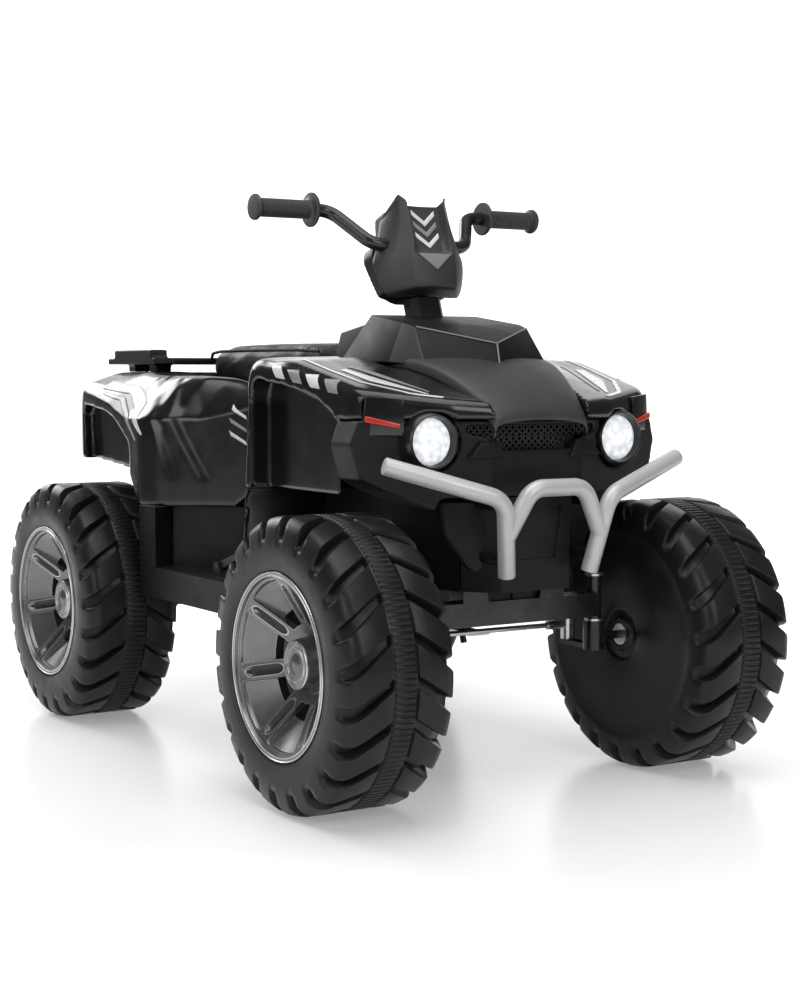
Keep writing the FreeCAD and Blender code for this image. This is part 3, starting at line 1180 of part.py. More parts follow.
def tie_rod():
    """Rod between the steering arms with an eye on each arm pin and a slotted tab for the crank pin."""
    y = f"{FRONT} + arm_reach"
    z = "(tyre_radius + 2 * axle_radius)"
    low = "tyre_radius - 3 * axle_radius + crank_thick + cap_gap"
    eye = "2.2 * pin_radius"
    pieces = [rod("tie_bar", "rod_radius", "2 * king_x", ("-king_x", y, z), "X")]
    holes = []
    for side, start in (("", "king_x - 8 * pin_radius"), ("-", "king_x")):
        pieces.append(rod("tie_sleeve", "rod_sleeve", "8 * pin_radius", (f"{side}({start})", y, z), "X"))
        pieces.append(rod("tie_eye", eye, f"2 * ({z} - ({low}))", (f"{side}king_x", y, low)))
        holes.append(rod("tie_hole", "pin_radius + running_fit", "foot_z", (f"{side}king_x", y, low)))
    reach = f"{FRONT} + foot_back + crank_reach * cos(rake * 1 deg)"
    pieces.append(box("tie_tab", "7 * pin_radius", f"{reach} + 3 * pin_radius - ({y})", "wall",
                      ("-3.5 * pin_radius", y, f"{z} - rod_radius - wall / 2")))
    holes.append(box("tie_slot", "2 * pin_radius + 2 * panel_gap", "5 * pin_radius", "foot_z",
                     ("-pin_radius - panel_gap", f"{reach} - 3.4 * pin_radius", "clearance - foot_z / 2")))
    node(cut("tie_rod", fused("tie_whole", *pieces), *holes), "tie_rod")


def steering_column():
    """Shaft with its crank at the foot, the bush that carries it and the clamp for the bar."""
    shaft = rod("shaft_bar", "shaft_radius", "shaft_length + crank_thick", (0, 0, "-crank_thick"))
    arm = body("crank_arm")
    pad(outline(arm, "XY", [
        ("-1.5 * shaft_radius", "-1.5 * shaft_radius"), ("1.5 * shaft_radius", "-1.5 * shaft_radius"),
        ("2 * pin_radius", "crank_reach + 2 * pin_radius"), ("-2 * pin_radius", "crank_reach + 2 * pin_radius"),
    ], "-crank_thick"), "crank_thick")
    pin = rod("crank_pin", "pin_radius", "5 * crank_thick", (0, "crank_reach", "-5 * crank_thick"))
    node(raked(fused("steering_shaft", shaft, arm, pin)), "steering_shaft")
    seat_y = f"{FRONT} + foot_back + (nose_bottom - foot_z) * tan(rake * 1 deg)"
    block = box("bush_block", "5 * shaft_radius", "5 * shaft_radius", "3 * shaft_radius",
                ("-2.5 * shaft_radius", f"{seat_y} - 1.8 * shaft_radius", "nose_bottom + wall"))
    bore = raked(rod("bush_bore", "shaft_radius + running_fit", "shaft_length", (0, 0, 0)))
    node(cut("shaft_bush", block, bore), "shaft_bush")
    clamp = box("clamp_block", "4.4 * shaft_radius", "bar_ahead + 3.4 * shaft_radius", "3 * bar_radius",
                ("-2.2 * shaft_radius", "-bar_ahead - 1.7 * bar_radius", "bar_low - 1.5 * bar_radius"))
    hole = rod("clamp_hole", "shaft_radius + running_fit", "shaft_length", (0, 0, 0))
    whole = cut("clamp_cut", clamp, hole, handlebar_shape("clamp_bar", "running_fit"))
    node(raked(whole), "bar_clamp")


def handlebar_shape(name, extra=None):
    """The bent bar in the shaft's frame; with a clearance it is the hollow that the bar leaves."""
    radius = cell("bar_radius") + (cell(extra) if extra else 0)
    low, ahead = cell("bar_low"), -cell("bar_ahead")
    high, back = low + cell("grip_rise"), cell("grip_back")
    inner = cell("grip_inner") - cell("bar_bend")
    drop = cell("dash_half")
    half = [(cell("grip_outer") - cell("wall"), back, high), (inner, back, high), (drop, ahead, low)]
    points = [Vector(-x, y, z) for x, y, z in half] + [Vector(x, y, z) for x, y, z in reversed(half)]
    return shaped(name, bent_tube(points, radius, cell("bar_bend")))


def handlebar():
    """Bent bar with its grips, the neck and the two halves of the dash cover."""
    node(raked(handlebar_shape("handlebar_tube")), "handlebar_tube")
    grip = body("grip_body")
    inner = "grip_inner"
    outer = "grip_outer"
    turned(grip, "XZ", [
        (f"-({inner})", "bar_radius + running_fit"), (f"-({inner})", "grip_flange"),
        (f"-({inner}) - wall", "grip_flange"), (f"-({inner}) - 2 * wall", "grip_radius"),
        (f"-({outer}) + 2 * wall", "grip_radius"), (f"-({outer}) + wall", "grip_end"), (f"-({outer})", "grip_end"),
        (f"-({outer})", "0"), (f"-({outer}) + wall * 0.9", "0"),
        (f"-({outer}) + wall * 0.9", "bar_radius + running_fit"),
    ], "H_Axis")
    # The grip's axis lies on the bar: in the shaft's frame it is back and up from the foot.
    lean = "rake * 1 deg"
    high = "(bar_low + grip_rise)"
    place(grip, 0, f"{FRONT} + foot_back + grip_back * cos({lean}) + {high} * sin({lean})",
          f"foot_z + {high} * cos({lean}) - grip_back * sin({lean})")
    left_and_right(grip, "grip")
    neck = body("neck_body")
    corner = "neck_deep / 2"
    pad(outline(neck, "XY", both_sides([
        (f"neck_half - {corner}", "-neck_deep"), ("neck_half", f"{corner} - neck_deep"),
        ("neck_half", f"neck_deep - {corner}"), (f"neck_half - {corner}", "neck_deep"),
    ]), "dash_foot - panel_gap"), "neck_length", back=True)
    doc.recompute()
    pocket(disc(neck, "XY", 0, 0, "shaft_radius + running_fit", "dash_foot"), "3 * neck_length", both=True)
    node(raked(neck), "steering_neck")


def dash_face(inset=0):
    """The dash cover from the front: right half from the notch between the ears down to the foot."""
    return [
        (f"dash_half * 0.30 - {inset}", f"dash_top - 12 - {inset}"),
        (f"dash_half * 0.5 - {inset}", f"dash_top - {inset}"), (f"dash_half * 0.72 - {inset}", "dash_top - 34"),
        (f"dash_half - {inset}", "bar_low + bar_radius / 2"), (f"dash_half * 0.9 - {inset}", "bar_low - 22"),
        (f"dash_half * 0.76 - {inset}", f"dash_foot + 10 + {inset}"),
        (f"dash_half * 0.44 - {inset}", f"dash_foot + {inset}"),
    ]


def dash_covers():
    solid = body("dash_solid")
    seam = "-dash_split"
    pad(outline(solid, "XZ", both_sides(dash_face()), "dash_split"), "dash_chin")
    side = body("dash_side")
    pad(outline(side, "YZ", [
        (seam, "dash_top + wall"), ("-dash_face + wall", "dash_top + wall"), ("-dash_face - 2", "bar_low - wall"),
        ("-dash_face - 5", "bar_low - 23"), ("-dash_chin", "dash_foot + 17"), ("-dash_face", "dash_foot + 8"),
        ("-dash_face / 2", "dash_foot - wall"), (seam, "dash_foot - wall"),
    ]), "2 * dash_half", both=True)
    hollow = body("dash_hollow")
    pad(outline(hollow, "XZ", both_sides(dash_face("wall")), "dash_split"), "dash_face - dash_split - 2 * wall")
    front = common("dash_common", solid, side)
    channel = handlebar_shape("dash_channel", "panel_gap")
    well = rod("dash_well", "shaft_radius + panel_gap", "shaft_length", (0, 0, 0))
    node(raked(cut("dash_cover_front", front, hollow, channel, well)), "dash_cover_front")
    rear = body("dash_rear")
    pad(outline(rear, "XZ", both_sides(dash_face("wall / 2")), "dash_split - panel_gap"),
        "dash_back + dash_split - panel_gap", back=True)
    room = body("dash_room")
    pad(outline(room, "XZ", both_sides(dash_face("wall * 1.5")), "dash_split"),
        "dash_back + dash_split - wall", back=True)
    tools = [room, channel, well]
    for x in ("-", ""):
        tools.append(button_form("button_hole", f"{x}dash_half * 0.36", "button_radius + button_gap"))
        tools.append(rocker_form("rocker_hole", f"{x}dash_half * 0.36", "button_gap"))
    node(raked(cut("dash_cover_rear", rear, *tools)), "dash_cover_rear")
    for x, name in (("-", "start_button"), ("", "horn_button")):
        node(raked(button_form(f"{name}_form", f"{x}dash_half * 0.36", "button_radius", "button_proud")), name)
    for x, name in (("-", "direction_rocker"), ("", "speed_rocker")):
        node(raked(rocker_form(f"{name}_form", f"{x}dash_half * 0.36", "0")), name)


def button_form(name, x, radius, proud="wall"):
    """A round button, or its hole, through the back of the dash."""
    piece = body(name)
    start = "-dash_back + 2 * wall"
    pad(disc(piece, "XZ", x, "bar_low + 27", radius, start), f"2 * wall + {proud}", back=True)
    return piece


def rocker_form(name, x, gap):
    """A rocker switch, or its hole: a low roof whose two slopes meet over the pivot."""
    piece = body(name)
    middle = "bar_low - 24"
    tall = f"(rocker_tall + 2 * ({gap}))"
    if gap == "0":
        pad(outline(piece, "YZ", [
            ("dash_back - wall", f"{middle} - {tall} * 0.8"), ("dash_back + wall", f"{middle} - {tall}"),
            ("dash_back + wall / 2", middle), ("dash_back + wall", f"{middle} + {tall}"),
            ("dash_back - wall", f"{middle} + {tall} * 0.8"), ("dash_back - 2 * wall", middle),
        ], f"{x} - rocker_half"), "2 * rocker_half")
    else:
        pad(outline(piece, "XZ", [
            (f"{x} - rocker_half - {gap}", f"{middle} - {tall} - 2 * {gap}"),
            (f"{x} + rocker_half + {gap}", f"{middle} - {tall} - 2 * {gap}"),
            (f"{x} + rocker_half + {gap}", f"{middle} + {tall} + 2 * {gap}"),
            (f"{x} - rocker_half - {gap}", f"{middle} + {tall} + 2 * {gap}"),
        ], "-dash_back + 3 * wall"), "6 * wall", back=True)
    return piece


# Drive, electrics and pedal

def rear_drive():
    """Fixed axle rod with its nuts, and on each side a gearbox with its motor."""
    end = "half_width - axle_end"
    node(rod("rear_axle", "axle_radius", f"2 * ({end})", (f"-({end})", REAR, "tyre_radius"), "X"), "rear_axle")
    nuts = []
    for start in (f"-({end})", f"{end} - nut_length"):
        nut = rod("rear_nut", "nut_radius", "nut_length", (start, REAR, "tyre_radius"), "X")
        bore = rod("rear_nut_bore", "axle_radius + running_fit", "nut_length", (start, REAR, "tyre_radius"), "X")
        nuts.append(cut("rear_nut_ring", nut, bore))
    node(grouped("rear_axle_nuts", *nuts), "rear_axle_nuts")
    case = body("gearbox_body")
    r = "gearbox_radius"
    m = "(motor_radius + 2 * wall)"
    y = f"({REAR} - motor_ahead)"
    side = "-tub_half - wall"
    pad(outline(case, "YZ", [
        (f"{REAR} + {r}", f"tyre_radius - {r} / 2"), (f"{REAR} + {r}", f"tyre_radius + {r} / 2"),
        (f"{REAR} + {r} / 2", f"tyre_radius + {r}"), (f"{y} + {m} / 2", f"motor_z + {m}"),
        (f"{y} - {m} / 2", f"motor_z + {m}"), (f"{y} - {m}", f"motor_z + {m} / 2"),
        (f"{y} - {m}", f"motor_z - {m} / 2"),
        (f"{y} - {m} / 2", f"motor_z - {m}"), (f"{REAR} - {r} / 2", f"tyre_radius - {r}"),
        (f"{REAR} + {r} / 2", f"tyre_radius - {r}"),
    ], side), "gearbox_half", back=True)
    doc.recompute()
    pocket(disc(case, "YZ", REAR, "tyre_radius", "axle_radius + running_fit", side),
           "2 * gearbox_half", both=True)
    left_and_right(case, "gearbox")
    motor = body("motor_body")
    turned(motor, "XY", [
        ("0", "0"), ("motor_radius", "0"), ("motor_radius", "motor_length - wall"),
        ("motor_radius - wall", "motor_length"), ("motor_radius / 3", "motor_length"),
        ("motor_radius / 3", "motor_length + wall"), ("0", "motor_length + wall"),
    ], "V_Axis")
    place(motor, side, f"{REAR} - motor_ahead", "motor_z")
    motor.Placement.Rotation = Rotation(Vector(0, 0, 1), -90)
    pair(motor, "drive_motors")


def electrics():
    """Battery and control box on the tub's floor, and the charge socket on the waist."""
    floor = "tub_bottom + wall"
    node(box("battery", "2 * battery_wide", "battery_long", "battery_tall", ("-battery_wide", 0, floor)),
         "battery")
    node(box("control_box", "1.4 * battery_wide", "1.3 * battery_wide", "box_tall",
             ("-0.7 * battery_wide", "-2 * battery_wide", floor)), "control_box")
    socket = body("socket_body")
    turned(socket, "XY", [
        ("socket_radius / 2", "0"), ("socket_radius * 1.5", "0"), ("socket_radius * 1.5", "wall / 2"),
        ("socket_radius", "wall"), ("socket_radius / 2", "wall"),
    ], "V_Axis")
    place(socket, "-tub_half - wall - panel_gap", f"{FRONT} + well_front + 4 * socket_radius",
          "deck - 3 * socket_radius")
    socket.Placement.Rotation = Rotation(Vector(0, 0, 1), 90)
    node(socket, "charge_socket")


def pedal():
    """Accelerator pedal on the right foot floor, hinged at its heel over a base with two ears."""
    hinge_y = f"{PEDAL_BACK} - 4 * pedal_pin"
    hinge_z = f"{FLOOR} + 4 * pedal_pin"
    left = "-pedal_x - pedal_wide / 2"
    base = body("pedal_base_body")
    pad(outline(base, "YZ", [
        (PEDAL_BACK, FLOOR), (f"{hinge_y} + 2 * pedal_pin", f"{hinge_z} + 2 * pedal_pin"),
        (f"{hinge_y} - 2 * pedal_pin", f"{hinge_z} + 2 * pedal_pin"),
        (f"{hinge_y} - 4 * pedal_pin", f"{FLOOR} + wall"),
        (f"{hinge_y} - pedal_long", f"{FLOOR} + wall"), (f"{hinge_y} - pedal_long", FLOOR),
    ], f"{left} - wall - panel_gap"), "pedal_wide + 2 * wall + 2 * panel_gap")
    doc.recompute()
    pocket(outline(base, "YZ", [
        (f"{hinge_y} + 5 * pedal_pin", f"{FLOOR} + wall / 2"),
        (f"{hinge_y} + 5 * pedal_pin", f"{hinge_z} + 3 * pedal_pin"),
        (f"{hinge_y} - 5 * pedal_pin", f"{hinge_z} + 3 * pedal_pin"),
        (f"{hinge_y} - 5 * pedal_pin", f"{FLOOR} + wall / 2"),
    ], f"{left} - panel_gap"), "pedal_wide + 2 * panel_gap", back=True)
    pocket(disc(base, "YZ", hinge_y, hinge_z, "pedal_pin + running_fit", f"{left} - pedal_wide"),
           "3 * pedal_wide", back=True)
    node(base, "pedal_base")
    plate = body("pedal_plate")
    pad(outline(plate, "YZ", [
        (f"{hinge_y} + 1.6 * pedal_pin", f"{hinge_z} + pedal_pin"), (hinge_y, f"{hinge_z} + 2 * pedal_pin"),
        (f"{hinge_y} - pedal_long", f"{hinge_z} + pedal_rise"),
        (f"{hinge_y} - pedal_long", f"{hinge_z} + pedal_rise - pedal_thick"),
        (f"{hinge_y} - 2 * pedal_pin", f"{hinge_z} - pedal_pin"),
        (f"{hinge_y} + pedal_pin", f"{hinge_z} - 2 * pedal_pin"),
    ], left), "pedal_wide")
    pin = rod("pedal_hinge", "pedal_pin", "pedal_wide + 2 * wall + 2 * panel_gap",
              (f"{left} - wall - panel_gap", hinge_y, hinge_z), "X")
    node(fused("foot_pedal", plate, pin), "foot_pedal")


def check_and_write():
    """Stop on any failed object or bad solid, then write one file for each sub-part."""
    doc.recompute()
    failed = [item.Label for item in doc.Objects if {"Invalid", "Error"} & set(item.State)]
    if failed:
        raise RuntimeError(f"these objects failed: {failed}")
    for piece in NODES:
        shape = piece.Shape
        if shape.isNull() or not shape.isValid() or not shape.Solids:
            raise RuntimeError(f"{piece.Label} has no valid solid")
    os.makedirs("parts", exist_ok=True)
    for piece in NODES:
        piece.Shape.exportStep(f"parts/{piece.Label}.step")
        print(f"{piece.Label}: {len(piece.Shape.Solids)} solid, {piece.Shape.Volume / 1000:.1f} cm3")


wheels()
chassis_tub()
front_skirt()
front_fender()
hood_cover()
front_fascia()
grille_mesh()
headlight()
marker_lens()
front_bumper()
rear_body()
rear_rack()
seat()
front_axle()
knuckle()
tie_rod()
steering_column()
handlebar()
dash_covers()
rear_drive()
electrics()
pedal()
check_and_write()
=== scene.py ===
"""Looks of the children's electric quad bike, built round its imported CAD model.

Lengths are in millimetres; the studio, the materials and Blender's own calls use metres.
"""
import json
from math import copysign, cos, dist, hypot, pi, radians, sin, tan, tanh, tau

import bmesh
import bpy
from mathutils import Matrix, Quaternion, Vector
from mathutils.bvhtree import BVHTree


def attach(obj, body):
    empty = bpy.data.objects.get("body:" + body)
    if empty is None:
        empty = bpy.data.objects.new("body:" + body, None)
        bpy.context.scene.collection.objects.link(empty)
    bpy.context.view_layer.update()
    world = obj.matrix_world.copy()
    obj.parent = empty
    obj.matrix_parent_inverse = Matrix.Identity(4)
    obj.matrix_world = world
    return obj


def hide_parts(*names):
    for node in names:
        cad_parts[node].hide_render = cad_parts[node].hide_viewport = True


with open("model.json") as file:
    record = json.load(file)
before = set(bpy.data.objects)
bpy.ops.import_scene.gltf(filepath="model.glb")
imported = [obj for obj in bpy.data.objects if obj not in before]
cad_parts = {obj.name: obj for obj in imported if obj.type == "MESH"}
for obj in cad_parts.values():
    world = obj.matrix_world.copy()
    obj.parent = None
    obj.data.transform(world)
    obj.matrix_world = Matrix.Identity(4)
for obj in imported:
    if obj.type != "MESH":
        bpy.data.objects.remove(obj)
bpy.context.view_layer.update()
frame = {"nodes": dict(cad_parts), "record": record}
scene = bpy.context.scene

WHEELBASE = 688
FRONT, REAR = -WHEELBASE / 2, WHEELBASE / 2
TYRE_RADIUS = 165
HALF_WIDTH = 307
RAKE = radians(19)
# The foot of the steering shaft, about which the dash turns.
FOOT = (0, FRONT + 54, 200)
SIDES = (("right", -1), ("left", 1))


# Shader helpers

# Places of the colours among a mix node's inputs and outputs.
MIX_FIRST, MIX_SECOND, MIX_RESULT = 6, 7, 2


class Graph:
    """A material's node tree with short calls for the nodes used here."""

    def __init__(self, name):
        self.material = bpy.data.materials.new(name)
        self.material.use_nodes = True
        self.tree = self.material.node_tree
        self.shader = self.tree.nodes["Principled BSDF"]
        self.coords = self.node("TexCoord", "Object")

    def feed(self, node, inputs):
        """Link each input of a node to a socket, or set its value."""
        for key, value in inputs.items():
            if isinstance(value, bpy.types.NodeSocket):
                self.tree.links.new(value, node.inputs[key])
            else:
                node.inputs[key].default_value = value

    def node(self, kind, output, inputs=(), **settings):
        """Add a node with its settings and inputs; returns one of its outputs."""
        node = self.tree.nodes.new(f"ShaderNode{kind}")
        for key, value in settings.items():
            setattr(node, key, value)
        self.feed(node, dict(inputs))
        return node.outputs[output]

    def set(self, **values):
        """Feed the shader's sockets, their spaces written as underscores."""
        self.feed(self.shader, {name.replace("_", " "): value for name, value in values.items()})

    def noise(self, scale, detail=4, coords=None):
        """Soft noise from 0 to 1."""
        return self.node("TexNoise", "Fac", {"Vector": coords or self.coords, "Scale": scale,
                                             "Detail": detail, "Roughness": 0.55})

    def remap(self, value, low, high, out_low=0, out_high=1):
        """A value carried from one range to another."""
        return self.node("MapRange", "Result", {"Value": value, "From Min": low, "From Max": high,
                                                "To Min": out_low, "To Max": out_high})

    def calc(self, operation, first, second):
        """A sum on two values."""
        return self.node("Math", "Value", {0: first, 1: second}, operation=operation)

    def mix(self, factor, first, second):
        """A colour between two, each a colour or a socket."""
        first, second = ((*c, 1) if isinstance(c, tuple) else c for c in (first, second))
        return self.node("Mix", MIX_RESULT, {"Factor": factor, MIX_FIRST: first, MIX_SECOND: second},
                         data_type="RGBA")

    def bump(self, height, strength, distance, below=None):
        """A normal raised by a height, on top of the one below."""
        inputs = {"Strength": strength, "Distance": distance, "Height": height}
        if below is not None:
            inputs["Normal"] = below
        return self.node("Bump", "Normal", inputs)

    def edges(self, radius):
        """1 along sharp edges, 0 on flat faces."""
        rounded = self.node("Bevel", "Normal", {"Radius": radius}, samples=4)
        plain = self.node("NewGeometry", "Normal")
        dot = self.node("VectorMath", "Value", {0: rounded, 1: plain}, operation="DOT_PRODUCT")
        return self.remap(dot, 0.995, 0.9)


EDGE_WIDTH, GRAIN_HEIGHT, WAVE_HEIGHT = 0.0012, 0.0006, 0.004


def moulded(name, colour, tone, rough, grain=(900, 0.08), wave=0, edge_wear_and_highlight=None, edge_patches=(0.42, 0.7),
            metallic=0, coat=0, shine=0.5):
    """Moulded plastic or painted metal: uneven tone and gloss, grain, soft waves, and edges recoloured as
    rubbed wear and as a painted highlight.
    """
    g = Graph(name)
    base = g.mix(g.remap(g.noise(14), 0.35, 0.65), colour, tone)
    # Edges take another colour: partly rubbed wear, partly a painted highlight where the edges catch the
    # light.
    if edge_wear_and_highlight:
        wear_and_highlight_mask = g.remap(g.noise(55), *edge_patches, 0, 0.8)
        base = g.mix(g.calc("MULTIPLY", g.edges(EDGE_WIDTH), wear_and_highlight_mask), base, edge_wear_and_highlight)
    normal = g.bump(g.noise(grain[0], 3), grain[1], GRAIN_HEIGHT)
    if wave:
        normal = g.bump(g.noise(9, 1), wave, WAVE_HEIGHT, normal)
    g.set(Base_Color=base, Roughness=g.remap(g.noise(38), 0.3, 0.7, *rough), Normal=normal)
    g.set(Metallic=metallic, Coat_Weight=coat, Coat_Roughness=0.06, Specular_IOR_Level=shine)
    return g.material


def brushed(name, colour, tone, rough):
    """Plated or brushed metal: fine lines along one axis and dull patches."""
    g = Graph(name)
    stretched = g.node("Mapping", "Vector", {"Vector": g.coords, "Scale": (40, 900, 900)})
    lines = g.noise(1, 3, stretched)
    patches = g.remap(g.noise(30), 0.35, 0.7)
    g.set(Base_Color=g.mix(patches, colour, tone), Roughness=g.remap(lines, 0.3, 0.7, *rough),
          Normal=g.bump(lines, 0.12, 0.0004), Metallic=1)
    return g.material


SHELL = moulded("gloss_black_shell", (0.0045, 0.0045, 0.005), (0.007, 0.007, 0.0075), (0.14, 0.22),
                grain=(1400, 0.02), wave=0.05, edge_wear_and_highlight=(0.05, 0.05, 0.052))
TRIM = moulded("grained_grey_trim", (0.026, 0.026, 0.027), (0.034, 0.034, 0.035), (0.42, 0.54),
               grain=(1500, 0.22), edge_wear_and_highlight=(0.09, 0.09, 0.09))
DOME = moulded("grained_black_dome", (0.008, 0.008, 0.0085), (0.012, 0.012, 0.0125), (0.4, 0.52),
               grain=(1500, 0.22), edge_wear_and_highlight=(0.08, 0.08, 0.08), edge_patches=(0.3, 0.5), shine=0.15)
TUB = moulded("matte_black_tub", (0.006, 0.006, 0.0065), (0.01, 0.01, 0.0105), (0.38, 0.52),
              grain=(1100, 0.15), edge_wear_and_highlight=(0.045, 0.045, 0.045), shine=0.22)
# The tyre's much lighter edge colour is mostly a painted highlight along the lug edges.
TYRE = moulded("blown_black_wheel", (0.009, 0.009, 0.009), (0.014, 0.014, 0.014), (0.28, 0.42),
               grain=(800, 0.12), wave=0.1, edge_wear_and_highlight=(0.1, 0.1, 0.1), shine=0.26)
# The cap's edges are lighter nearly all along: a painted highlight.
CAP = moulded("gunmetal_cap", (0.21, 0.211, 0.215), (0.16, 0.161, 0.165), (0.24, 0.36),
              grain=(1900, 0.05), edge_wear_and_highlight=(0.75, 0.755, 0.77), edge_patches=(0.1, 0.3), metallic=0.75)
# Bright metal for thin lines on the cap's rings and slot rims: a painted highlight.
CAP_HIGHLIGHT = moulded("bright_cap_edge", (0.62, 0.624, 0.635), (0.52, 0.524, 0.535), (0.24, 0.36),
              grain=(1700, 0.03), metallic=0.85)
# Near-black metal for the slot floors and the hollows by the boss: painted shade.
SLOT_SHADE = moulded("dark_cap_slot", (0.035, 0.035, 0.036), (0.05, 0.05, 0.052), (0.3, 0.42),
               grain=(1900, 0.05), metallic=0.6)
BAR = moulded("silver_bumper", (0.58, 0.585, 0.59), (0.52, 0.525, 0.53), (0.34, 0.46),
              grain=(1600, 0.16), edge_wear_and_highlight=(0.34, 0.34, 0.34), metallic=0.25)
STEEL = moulded("black_powder_coat", (0.007, 0.007, 0.0075), (0.012, 0.012, 0.0125), (0.2, 0.34),
                grain=(700, 0.1), edge_wear_and_highlight=(0.08, 0.08, 0.08))
ZINC = brushed("zinc_plate", (0.66, 0.66, 0.64), (0.52, 0.52, 0.49), (0.22, 0.42))
RUBBER = moulded("grip_rubber", (0.024, 0.024, 0.024), (0.034, 0.034, 0.034), (0.4, 0.56),
                 grain=(1300, 0.3))
CAN = moulded("motor_can", (0.3, 0.3, 0.31), (0.24, 0.24, 0.25), (0.3, 0.45), metallic=0.8)
RED = moulded("red_lens", (0.62, 0.035, 0.012), (0.48, 0.02, 0.008), (0.14, 0.24),
              grain=(500, 0.25), coat=0.5)
SILVER = moulded("silvered_reflector", (0.8, 0.81, 0.83), (0.72, 0.73, 0.75), (0.08, 0.18), metallic=1)
VINYL = moulded("seat_vinyl", (0.01, 0.01, 0.0105), (0.015, 0.015, 0.0155), (0.4, 0.55),
                grain=(650, 0.45), wave=0.12, edge_wear_and_highlight=(0.04, 0.04, 0.04), shine=0.25)
WHITE = moulded("white_film", (0.74, 0.74, 0.75), (0.66, 0.66, 0.67), (0.22, 0.36), grain=(900, 0.04))
GREY = moulded("grey_film", (0.26, 0.265, 0.27), (0.21, 0.215, 0.22), (0.26, 0.4), grain=(900, 0.04))


FACETS = 130


def glowing(name):
    """Lit headlight glass: white, with an uneven glow from the facets."""
    g = Graph(name)
    cells = g.node("TexVoronoi", "Distance", {"Vector": g.coords, "Scale": FACETS})
    facets = g.remap(cells, 0.25, 0.75)
    g.set(Base_Color=g.mix(facets, (0.9, 0.91, 0.93), (0.6, 0.63, 0.67)),
          Roughness=g.remap(g.noise(60), 0.35, 0.65, 0.05, 0.14),
          Emission_Color=g.mix(facets, (1, 1, 1), (0.62, 0.66, 0.71)), Emission_Strength=0.6,
          Normal=g.bump(cells, 0.3, 0.001))
    return g.material


GLOW = glowing("lit_lens")

NODE_LOOKS = {
    "shell_black": SHELL, "trim_grey": TRIM, "tub_black": TUB, "bumper_grey": BAR, "wheel_black": TYRE,
    "cap_gunmetal": CAP, "reflector_silver": SILVER, "grip_rubber": RUBBER, "black_steel": STEEL,
    "zinc_steel": ZINC, "motor_steel": CAN, "switch_red": RED, "switch_black": TUB, "lens_clear": GLOW,
    "lens_red": RED, "seat_vinyl": VINYL,
}
for part in frame["record"]["subparts"]:
    looks = frame["nodes"][part["node"]].data.materials
    looks.clear()
    # The photo shows the hangers black, not plated as their slot says.
    looks.append(STEEL if part["node"] == "axle_hangers" else NODE_LOOKS[part["material_slot"]])


# Camera, floor and light

def placed(name, data):
    """A new object in the scene."""
    thing = bpy.data.objects.new(name, data)
    scene.collection.objects.link(thing)
    return thing


# The camera as solved from the photo: place, heading, tilt, lens and sensor.
EYE = (-1.235, -2.09, 0.486)
VIEW = radians(31.95)
TILT = radians(86)
LENS, SENSOR = 65.61, 36
# Soft boxes: name, place, size and power. All face the middle of the quad.
LAMPS = (
    ("overhead", (-0.3, -0.5, 2.5), 2.2, 44), ("left_box", (-2.4, -1.2, 1.3), 1.3, 15),
    ("front_box", (0.1, -3.3, 1.9), 1.5, 30), ("rear_box", (-0.6, 2.9, 2), 1.7, 50),
)
AIM = Vector((0, 0, 0.35))
SKY_STRENGTH = 0.14
# The paper sweep along the view: front edge, the wall's place and top, the cove's radius, half its width.
PAPER_FRONT, PAPER_WALL, PAPER_TOP, PAPER_COVE, PAPER_HALF = -4.6, 3.6, 3.6, 0.8, 3.2
COVE_STEPS = 12


def studio():
    """The photo's camera, a white paper sweep under and behind the quad, and soft boxes."""
    lens = bpy.data.cameras.new("photo_camera")
    lens.lens = LENS
    lens.sensor_width = SENSOR
    scene.camera = placed("photo_camera", lens)
    scene.camera.location = EYE
    scene.camera.rotation_euler = (TILT, 0, -VIEW)
    turns = [radians(90 / COVE_STEPS * k) for k in range(COVE_STEPS + 1)]
    cove = [(PAPER_WALL - PAPER_COVE + PAPER_COVE * sin(turn), PAPER_COVE - PAPER_COVE * cos(turn))
            for turn in turns]
    line = [(PAPER_FRONT, 0), *cove, (PAPER_WALL, PAPER_TOP)]
    sine, cosine = sin(VIEW), cos(VIEW)
    points = [(sine * s + cosine * w, cosine * s - sine * w, z)
              for s, z in line for w in (-PAPER_HALF, PAPER_HALF)]
    paper = bpy.data.meshes.new("paper_sweep")
    paper.from_pydata(points, [], [(k, k + 1, k + 3, k + 2) for k in range(0, len(points) - 2, 2)])
    paper.shade_smooth()
    paper.materials.append(paper_white())
    sweep = placed("paper_sweep", paper)
    for name, place, size, power in LAMPS:
        lamp = bpy.data.lights.new(name, "AREA")
        lamp.energy = power
        lamp.size = size
        holder = placed(name, lamp)
        holder.location = place
        holder.rotation_euler = (AIM - Vector(place)).to_track_quat("-Z", "Y").to_euler()
    scene.world = bpy.data.worlds.new("studio")
    scene.world.use_nodes = True
    sky = scene.world.node_tree.nodes["Background"]
    sky.inputs["Color"].default_value = (1, 1, 1, 1)
    sky.inputs["Strength"].default_value = SKY_STRENGTH
    scene.view_settings.view_transform = "Standard"


def paper_white():
    """Paper that the camera and reflections see lit white away from the quad, its shadow kept."""
    g = Graph("paper_sweep")
    far = g.node("VectorMath", "Value", {0: g.coords}, operation="LENGTH")
    seen = g.node("LightPath", "Is Camera Ray")
    for ray in ("Is Glossy Ray", "Is Transmission Ray"):
        seen = g.calc("MAXIMUM", seen, g.node("LightPath", ray))
    g.set(Base_Color=(0.8, 0.8, 0.8, 1), Roughness=0.24, Specular_IOR_Level=0.35,
          Emission_Color=(1, 1, 1, 1),
          Emission_Strength=g.calc("MULTIPLY", seen, g.remap(far, 0.6, 1.8, 0.26, 1)))
    return g.material


# Mesh helpers

